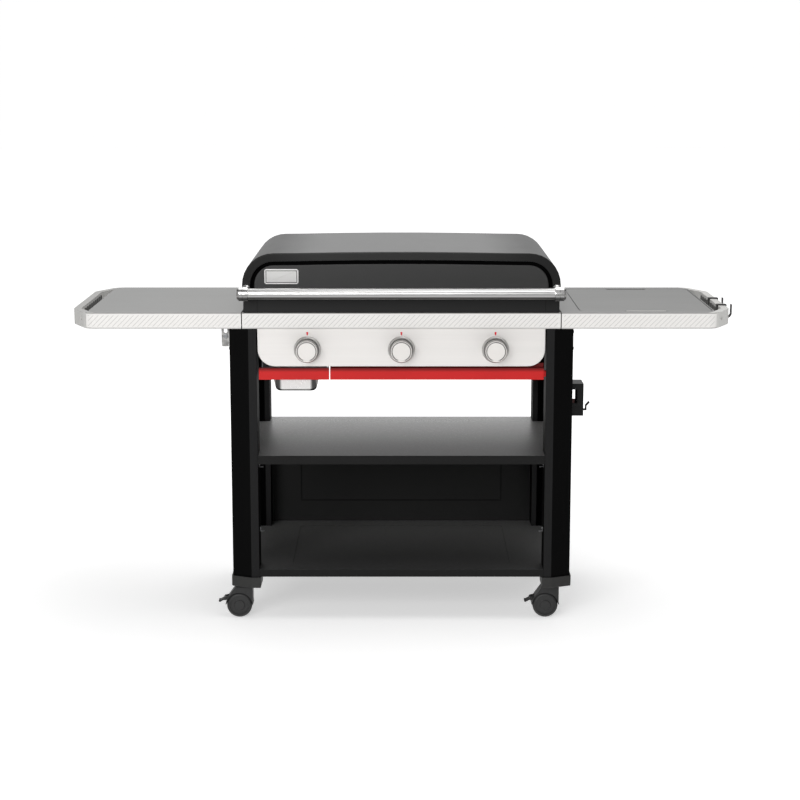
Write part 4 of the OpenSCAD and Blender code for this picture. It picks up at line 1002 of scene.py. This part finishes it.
class GRILL_OT_end_caps(bpy.types.Operator):
    """Makes the moulded end caps with their grips, ribs and screws"""
    bl_idname = "grill.end_caps"
    bl_label = "End caps"

    def execute(self, context):
        s = context.scene.grill_tables
        for side, sign in (("left", -1), ("right", 1)):
            node = f"{side}_end_cap"
            low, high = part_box(node)
            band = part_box(f"{side}_table_bands")
            seam = (band[0].x if sign < 0 else band[1].x) * sign + 0.0003
            piece = copy_of(node, f"{side}_grip_cap")

            def outward(n):
                return any(m.x * sign > 0.2 or (abs(m.y) > 0.5 and m.x * sign > -0.1) for m in n)

            def on_cap(a, b, z):
                return min(a.x * sign, b.x * sign) > seam and abs(a.z - z) < NEAR and abs(b.z - z) < NEAR

            round_edges(piece, lambda a, b, n: is_sharp(n) and on_cap(a, b, low.z) and outward(n), s.cap_round, 5)
            round_edges(piece, lambda a, b, n: is_sharp(n) and on_cap(a, b, high.z), s.cap_top_round, 4)
            # Painted light: the right cap's plastic is a paler copy of the left cap's.
            done(piece, "cart", f"{side}_cap_plastic", [node])
            self.ribs(side, sign, low, high, s.rib_count)
            self.screw(side, sign, low, high)
        return {"FINISHED"}

    def screw(self, side, sign, low, high):
        """The countersunk screw at the bottom of the recess in an end cap's front corner."""
        tip = max(high.x * sign, low.x * sign)
        inset, depth, lift = 0.032, 0.0452, 0.003
        z = (low.z + high.z) / 2 + lift
        head = turned(f"{side}_cap_screw", [(0.0046, 0), (0.0046, 0.0009), (0.0036, 0.0018), (0.0020, 0.0018),
                                            (0.0014, 0.0006), (0.0005, 0.0006)],
                      (sign * (tip - inset), low.y + depth, z), "-Y", 24)
        done(head, "cart", "rib_plastic")

    def ribs(self, side, sign, low, high, count):
        """A dark sheet on the inside of a grip, with ribs, both in painted shade for the grip's dark inside."""
        grip = max(high.x * sign, low.x * sign) - 0.022
        y0, y1 = low.y + 0.135, high.y - 0.135
        x0, x1 = sorted((sign * (grip - 0.0012), sign * (grip + 0.0015)))
        made = [block("liner", (x0, y0, low.z + 0.008), (x1, y1, high.z - 0.010))]
        step = (y1 - y0) / count
        x0, x1 = sorted((sign * (grip - 0.0042), sign * (grip + 0.0015)))
        for k in range(count + 1):
            y = y0 + k * step
            made.append(block("rib", (x0, y - 0.002, low.z + 0.006), (x1, y + 0.002, high.z - 0.008)))
        liner = joined(f"{side}_grip_painted_shade", made)
        soften(liner, 0.0006, 1)
        done(liner, "cart", "rib_plastic")


# ---- controls --------------------------------------------------------------------


class GRILL_OT_control_panel(bpy.types.Operator):
    """Makes the brushed control panel, the rings round the knobs and the red marks"""
    bl_idname = "grill.control_panel"
    bl_label = "Control panel"

    def execute(self, context):
        s = context.scene.grill_controls
        low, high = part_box("control_panel")
        shaped_from = 0.34
        panel = copy_of("control_panel", "brushed_panel")
        round_edges(panel, lambda a, b, n: is_sharp(n) and max(a.y, b.y) < low.y + NEAR and
                    ((a - b).length > 0.006 or abs(a.z - b.z) > 0.0001) and
                    max(abs(a.x), abs(b.x)) > shaped_from, 0.0016, 3)
        done(panel, "cart", "panel_steel", ["control_panel"])
        rings, marks = [], []
        for side in KNOBS:
            a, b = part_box(f"knob_{side}")
            middle = (a + b) / 2
            ring_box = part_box("knob_bezels")
            outer = (ring_box[1].z - ring_box[0].z) / 2
            inner = (b.x - a.x) / 2 + 0.0013
            face = low.y
            proud = face - ring_box[0].y
            ring = turned("ring", [(outer - 0.0008, 0), (outer, 0.0008), (outer, proud * 0.45),
                                   (outer - 0.0014, proud * 0.55), (outer - 0.0014, proud * 0.8),
                                   (outer - 0.0034, proud), (inner + 0.0008, proud), (inner, proud - 0.001),
                                   (inner, 0.0004)], (middle.x, face, middle.z), "-Y", 96)
            self.drill(ring)
            rings.append(ring)
            marks.append(self.mark(s, middle.x, face, middle.z + s.mark_up))
        done(joined("knob_rings", rings), "cart", "ring_metal", ["knob_bezels"])
        done(joined("panel_marks", marks), "cart", "mark_red")
        return {"FINISHED"}

    def drill(self, ring):
        """Takes out the discs at the two ends of a turned ring and closes the wall between them."""
        open_mesh(ring)
        mesh = bmesh.from_edit_mesh(ring.data)
        for face in mesh.faces:
            face.select_set(len(face.verts) > 8)
        bmesh.update_edit_mesh(ring.data)
        bpy.ops.mesh.delete(type="ONLY_FACE")
        bpy.ops.mesh.select_mode(type="EDGE")
        bpy.ops.mesh.select_all(action="DESELECT")
        bpy.ops.mesh.select_non_manifold()
        bpy.ops.mesh.bridge_edge_loops()
        bpy.ops.mesh.select_all(action="SELECT")
        bpy.ops.mesh.normals_make_consistent(inside=False)
        put_away()

    def mark(self, s, x, y, z):
        """One painted mark above a knob: a small plate that narrows downwards."""
        w, h = s.mark_width / 2, s.mark_height / 2
        piece = block("mark", (x - w, y - 0.0007, z - h), (x + w, y + 0.0002, z + h))
        open_mesh(piece)
        pick_faces(piece, lambda c, n: n.z < -0.9)
        bpy.ops.transform.resize(value=(0.55, 1, 1), center_override=(x, y, z - h))
        bpy.ops.mesh.select_all(action="DESELECT")
        put_away()
        round_edges(piece, lambda a, b, n: is_sharp(n) and abs(a.y - b.y) > NEAR, 0.0012, 3)
        return piece


class GRILL_OT_knobs(bpy.types.Operator):
    """Turns the three knobs, each with a finger groove and a dished face"""
    bl_idname = "grill.knobs"
    bl_label = "Knobs"

    def execute(self, context):
        s = context.scene.grill_controls
        for side in KNOBS:
            a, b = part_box(f"knob_{side}")
            r, long = (b.x - a.x) / 2, b.y - a.y
            g = s.finger_groove
            steps = [(r - 0.0008, 0.0), (r, 0.0008), (r, long * 0.36), (r - 0.0006, long * 0.38),
                     (r - g, long * 0.40), (r - g, long * 0.46), (r - 0.0006, long * 0.48), (r, long * 0.50), (r, long * 0.74),
                     (r - 0.0006, long * 0.76), (r - g * 0.7, long * 0.78), (r - g * 0.7, long * 0.82),
                     (r - 0.0006, long * 0.84), (r - 0.0002, long * 0.86), (r - 0.0002, long - 0.0032),
                     (r - 0.0012, long - 0.0012), (r - 0.0032, long), (r - 0.0052, long),
                     (r - 0.0058, long - 0.0007), (r * 0.45, long - 0.0009), (0.0006, long - 0.0010)]
            knob = turned(f"{side}_burner_knob", steps, ((a.x + b.x) / 2, b.y, (a.z + b.z) / 2), "-Y", 96)
            done(knob, f"knob_{side}", "knob_metal", [f"knob_{side}"], smooth=28)
            rim = a.y + 0.0016
            # Painted shade: each knob's side is painted darker than its face.
            repaint(knob, "knob_side", lambda c, n: c.y > rim)
            middle = (a + b) / 2
            # Painted shade: a dark arc round the face's edge, left out at the bottom where light falls, and dark
            # bands in the two finger grooves.
            repaint(knob, "knob_line", lambda c, n: c.y < rim and c.z > middle.z - 0.80 * r and
                    r - 0.0057 < math.hypot(c.x - middle.x, c.z - middle.z) < r - 0.0034)
            repaint(knob, "knob_line", lambda c, n: long * 0.14 < c.y - a.y < long * 0.24 or
                    long * 0.52 < c.y - a.y < long * 0.62)
            dress("valve_brass", f"valve_stem_{side}")
        return {"FINISHED"}


class GRILL_OT_red_bar(bpy.types.Operator):
    """Makes the red bar and the grease drawer's front"""
    bl_idname = "grill.red_bar"
    bl_label = "Red bar"

    def execute(self, context):
        bar = softened("lower_bar", "red_bar", "red_coat", 0.0009, 3)
        front_depth = 0.0165
        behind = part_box("lower_bar")[0].y + front_depth
        repaint(bar, "hook_coat", lambda c, n: c.y > behind)
        softened("drawer_front", "red_drawer_front", "red_coat", 0.0009, 3)
        dress("runner_zinc", "grease_tray", "drawer_runners")
        return {"FINISHED"}


class GRILL_OT_drip_cup(bpy.types.Operator):
    """Presses the drip cup: a tapered box with round corners and a narrow flat rim"""
    bl_idname = "grill.drip_cup"
    bl_label = "Drip cup"

    def execute(self, context):
        low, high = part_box("drip_cup")
        mid = (low + high) / 2
        cup = block("bright_drip_cup", low, high)
        taper = 0.0075
        open_mesh(cup)
        pick_faces(cup, lambda c, n: n.z < -0.9)
        wide, deep = high.x - low.x, high.y - low.y
        bpy.ops.transform.resize(value=((wide - 2 * taper) / wide, (deep - 2 * taper) / deep, 1),
                                 center_override=(mid.x, mid.y, low.z))
        put_away()
        round_edges(cup, lambda a, b, n: is_sharp(n) and abs(a.z - b.z) > 0.02, 0.015, 6)
        round_edges(cup, lambda a, b, n: is_sharp(n, 0.3) and max(a.z, b.z) < low.z + NEAR, 0.011, 6)
        open_mesh(cup)
        pick_faces(cup, lambda c, n: n.z > 0.9)
        bpy.ops.mesh.inset(thickness=0.0032)
        bpy.ops.mesh.delete(type="FACE")
        put_away()
        modify(cup, "SOLIDIFY", thickness=0.0011, offset=-1)
        done(cup, "grease_drawer", "cup_steel", ["drip_cup"])
        return {"FINISHED"}


# ---- cook box and lid ----------------------------------------------------------


class GRILL_OT_cook_box(bpy.types.Operator):
    """Finishes the cook box, the griddle, the burners and the gas train"""
    bl_idname = "grill.cook_box"
    bl_label = "Cook box"

    def execute(self, context):
        box = copy_of("cook_box", "enamelled_box")
        low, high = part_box("cook_box")
        round_edges(box, lambda a, b, n: is_sharp(n) and (a - b).length > 0.2 and min(a.z, b.z) > high.z - 0.06 and
                    (min(abs(a.x), abs(b.x)) > high.x - NEAR or max(a.y, b.y) < low.y + NEAR), 0.0016, 3)
        done(box, "cart", "enamel", ["cook_box"])
        plate = copy_of("griddle_plate", "seasoned_griddle")
        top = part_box("griddle_plate")[1].z
        round_edges(plate, lambda a, b, n: is_sharp(n) and min(a.z, b.z) > top - NEAR, 0.0015, 3)
        done(plate, "cart", "griddle_film", ["griddle_plate"])
        dress("burner_steel", "burners")
        dress("pipe_steel", "gas_manifold")
        dress("valve_brass", "gas_valves")
        return {"FINISHED"}


class GRILL_OT_lid(bpy.types.Operator):
    """Makes the lid's hood, its raised front panel and the hinges"""
    bl_idname = "grill.lid"
    bl_label = "Lid"

    def execute(self, context):
        s = context.scene.grill_lid
        low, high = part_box("lid_shell")
        hood = copy_of("lid_shell", "lid_hood")

        def front_rim(a, b, n):
            return is_sharp(n) and max(a.y, b.y) < low.y + NEAR

        def outer(n):
            return any(m.z > 0.1 or abs(m.x) > 0.5 for m in n if abs(m.y) < 0.5)

        def away(a, n):
            side = [m for m in n if abs(m.y) < 0.5]
            return bool(side) and (side[0].x * a.x >= 0 and side[0].z > -0.05) and \
                (abs(side[0].x) > 0.3 or side[0].z > 0.3)

        round_edges(hood, lambda a, b, n: front_rim(a, b, n) and away(a, n) and outer(n), s.front_edge, 4)
        round_edges(hood, lambda a, b, n: front_rim(a, b, n) and not away(a, n) and
                    max(a.z, b.z) > low.z + 0.001, s.groove_edge, 3)
        round_edges(hood, lambda a, b, n: is_sharp(n) and min(a.y, b.y) > high.y - NEAR and away(a, n), 0.003, 3)
        done(hood, "lid", "lid_paint", ["lid_shell"])
        # Painted shade: the walls of the groove round the front panel are painted near black.
        repaint(hood, "groove_black", lambda c, n: low.y + 0.003 < c.y < low.y + 0.016 and not away(c, [n]))

        panel = copy_of("lid_front_panel", "lid_raised_panel")
        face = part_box("lid_front_panel")[0].y
        round_edges(panel, lambda a, b, n: is_sharp(n) and max(a.y, b.y) < face + NEAR, 0.0025, 4)
        done(panel, "lid", "lid_panel_paint", ["lid_front_panel"])
        # Painted shade: the panel's sides in the groove are painted near black.
        repaint(panel, "groove_black", lambda c, n: c.y > face + 0.0035)
        softened("hinge_arms", "lid_hinge_arms", "hook_coat", 0.0006)
        softened("hinge_brackets", "box_hinge_brackets", "hook_coat", 0.0006)
        return {"FINISHED"}


class GRILL_OT_badge(bpy.types.Operator):
    """Makes the blank badge plate with its raised rim"""
    bl_idname = "grill.badge"
    bl_label = "Badge plate"

    def execute(self, context):
        s = context.scene.grill_lid
        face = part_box("lid_front_panel")[0].y
        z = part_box("lid_shell")[0].z + 0.0475
        w, h = s.badge_width / 2, s.badge_height / 2
        plate = block("badge_plate", (-s.badge_at - w, face - 0.0023, z - h),
                      (-s.badge_at + w, face + 0.0003, z + h))
        round_edges(plate, lambda a, b, n: is_sharp(n) and abs(a.y - b.y) > 0.001, 0.0055, 5)
        round_edges(plate, lambda a, b, n: is_sharp(n) and max(a.y, b.y) < face - 0.002, 0.0006, 2)
        open_mesh(plate)
        pick_faces(plate, lambda c, n: n.y < -0.99)
        bpy.ops.mesh.inset(thickness=s.badge_rim)
        bpy.ops.mesh.extrude_region_shrink_fatten(TRANSFORM_OT_shrink_fatten={"value": -0.0009})
        bpy.ops.mesh.inset(thickness=0.0021)
        bpy.ops.mesh.extrude_region_shrink_fatten(TRANSFORM_OT_shrink_fatten={"value": 0.0005})
        put_away()
        done(plate, "lid", "badge_metal")

        def within(c, step):
            return abs(c.x + s.badge_at) < w - step and abs(c.z - z) < h - step

        repaint(plate, "badge_line", lambda c, n: within(c, s.badge_rim - 0.0002))
        repaint(plate, "badge_field", lambda c, n: within(c, s.badge_rim + 0.0024))
        return {"FINISHED"}


class GRILL_OT_handle(bpy.types.Operator):
    """Makes the lid handle: a polished tube, two turned end pieces and their arms"""
    bl_idname = "grill.handle"
    bl_label = "Lid handle"

    def execute(self, context):
        low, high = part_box("handle_tube")
        r, y, z = (high.z - low.z) / 2, (low.y + high.y) / 2, (low.z + high.z) / 2
        wide = high.x - low.x
        tube = turned("handle_bar", [(r, 0), (r, wide * 0.5), (r, wide)], (low.x, y, z), "+X", 96)
        done(tube, "lid", "handle_metal", ["handle_tube"])
        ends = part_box("handle_ends")
        R = (ends[1].z - ends[0].z) / 2 - 0.00005
        tip, long = ends[1].x, ends[1].x - high.x
        made = []
        for sign, axis in ((-1, "-X"), (1, "+X")):
            steps = [(R - 0.002, 0), (R - 0.0006, 0.0006), (R, 0.002), (R, long * 0.42), (R - 0.0008, long * 0.435),
                     (R - 0.0008, long * 0.465), (R, long * 0.48), (R, long - 0.0065), (R - 0.0012, long - 0.0048),
                     (R - 0.0056, long - 0.0006), (R - 0.0072, long), (0.004, long), (0.0005, long)]
            made.append(turned("end_piece", steps, (sign * (tip - long), y, z), axis, 80))
            arm_x = sign * (tip - long + 0.010)
            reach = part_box("lid_shell")[0].y - y
            made.append(turned("arm", [(0.0095, 0), (0.0095, reach - 0.006), (0.0125, reach - 0.004),
                                       (0.0125, reach - 0.0006), (0.0115, reach)], (arm_x, y, z + 0.007), "+Y", 48))
        done(joined("handle_end_pieces", made), "lid", "handle_end_metal", ["handle_ends"],
             smooth=30)
        return {"FINISHED"}


# ---- small pieces ----------------------------------------------------------------


class GRILL_OT_tool_hooks(bpy.types.Operator):
    """Makes the two strap hooks that hang on the right grip"""
    bl_idname = "grill.tool_hooks"
    bl_label = "Tool hooks"

    def execute(self, context):
        for end in ("front", "rear"):
            softened(f"tool_hook_{end}", f"{end}_strap_hook", "hook_coat", 0.0007)
        return {"FINISHED"}


class GRILL_OT_tank_scale(bpy.types.Operator):
    """Makes the tank scale's housing, its hook and its marker"""
    bl_idname = "grill.tank_scale"
    bl_label = "Tank scale"

    def execute(self, context):
        softened("tank_scale_housing", "scale_housing", "hook_coat", 0.0009)
        softened("tank_hook", "scale_hook", "hook_coat", 0.0008)
        softened("scale_marker", "scale_pointer", "marker_plastic", 0.0008, 3)
        return {"FINISHED"}


class GRILL_OT_casters(bpy.types.Operator):
    """Makes the twin-wheel casters, their hoods and the brake pedals"""
    bl_idname = "grill.casters"
    bl_label = "Casters"

    def wheel(self, r, wide, hub, at, axis):
        """One wheel: tyre, groove, web and raised hub, turned from the inside outwards."""
        steps = [(r * 0.6, 0), (r - 0.003, 0), (r - 0.0009, 0.0009), (r, 0.003), (r, wide * 0.55),
                 (r - 0.0010, wide * 0.74), (r - 0.0030, wide * 0.88), (r - 0.0055, wide * 0.955),
                 (r - 0.0085, wide * 0.975), (r - 0.0092, wide - 0.0028), (hub + 0.0022, wide - 0.0028),
                 (hub + 0.0010, wide - 0.0022), (hub, wide - 0.0010), (hub - 0.0010, wide), (hub * 0.5, wide),
                 (0.0005, wide)]
        return turned("wheel", steps, at, axis, 80)

    def execute(self, context):
        s = context.scene.grill_cart
        for end in ("front", "rear"):
            for side in ("left", "right"):
                corner = f"{end}_{side}"
                softened(f"caster_body_{corner}", f"{corner}_caster_hood", "caster_plastic", 0.0008)
                low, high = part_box(f"caster_wheels_{corner}")
                mid, r = (low + high) / 2, (high.z - low.z) / 2
                gap = 0.0027
                wide = (high.y - low.y) / 2 - gap
                axle = turned("axle", [(0.004, 0), (0.004, 2 * gap + 0.002)],
                              (mid.x, mid.y - gap - 0.001, mid.z), "+Y", 24)
                pair = [self.wheel(r, wide, s.hub_radius, (mid.x, mid.y - gap, mid.z), "-Y"),
                        self.wheel(r, wide, s.hub_radius, (mid.x, mid.y + gap, mid.z), "+Y"), axle]
                done(joined(f"{corner}_wheel_pair", pair), f"wheels_{corner}",
                     "wheel_plastic", [f"caster_wheels_{corner}"], smooth=30)
        for side in ("left", "right"):
            softened(f"brake_pedal_{side}", f"{side}_pedal", "caster_plastic", 0.0007)
        return {"FINISHED"}


OPERATORS = [GRILL_OT_stage, GRILL_OT_legs, GRILL_OT_feet, GRILL_OT_shelves, GRILL_OT_clips, GRILL_OT_screws,
             GRILL_OT_bands, GRILL_OT_tables, GRILL_OT_end_caps, GRILL_OT_control_panel, GRILL_OT_knobs,
             GRILL_OT_red_bar, GRILL_OT_drip_cup, GRILL_OT_cook_box, GRILL_OT_lid, GRILL_OT_badge, GRILL_OT_handle,
             GRILL_OT_tool_hooks, GRILL_OT_tank_scale, GRILL_OT_casters]


class GRILL_PT_pieces(bpy.types.Panel):
    """Lists the grill's settings and the button for each piece"""
    bl_idname = "GRILL_PT_pieces"
    bl_label = "Grill"
    bl_space_type = "VIEW_3D"
    bl_region_type = "UI"
    bl_category = "Grill"

    def draw(self, context):
        for group, kind in GROUPS.items():
            box = self.layout.box()
            box.label(text=kind.__doc__)
            for key in kind.__annotations__:
                box.prop(getattr(context.scene, group), key)
        for operator in OPERATORS:
            self.layout.operator(operator.bl_idname)


def register():
    """Registers the settings, the operators and the panel."""
    for name, kind in GROUPS.items():
        bpy.utils.register_class(kind)
        setattr(bpy.types.Scene, name, PointerProperty(type=kind))
    for kind in [*OPERATORS, GRILL_PT_pieces]:
        bpy.utils.register_class(kind)


def unregister():
    """Takes away what register added."""
    for kind in [GRILL_PT_pieces, *reversed(OPERATORS)]:
        bpy.utils.unregister_class(kind)
    for name, kind in reversed(list(GROUPS.items())):
        delattr(bpy.types.Scene, name)
        bpy.utils.unregister_class(kind)


def main():
    """Builds everything in order."""
    register()
    for kind in OPERATORS:
        family, name = kind.bl_idname.split(".")
        getattr(getattr(bpy.ops, family), name)()


if __name__ == "__main__":
    main()
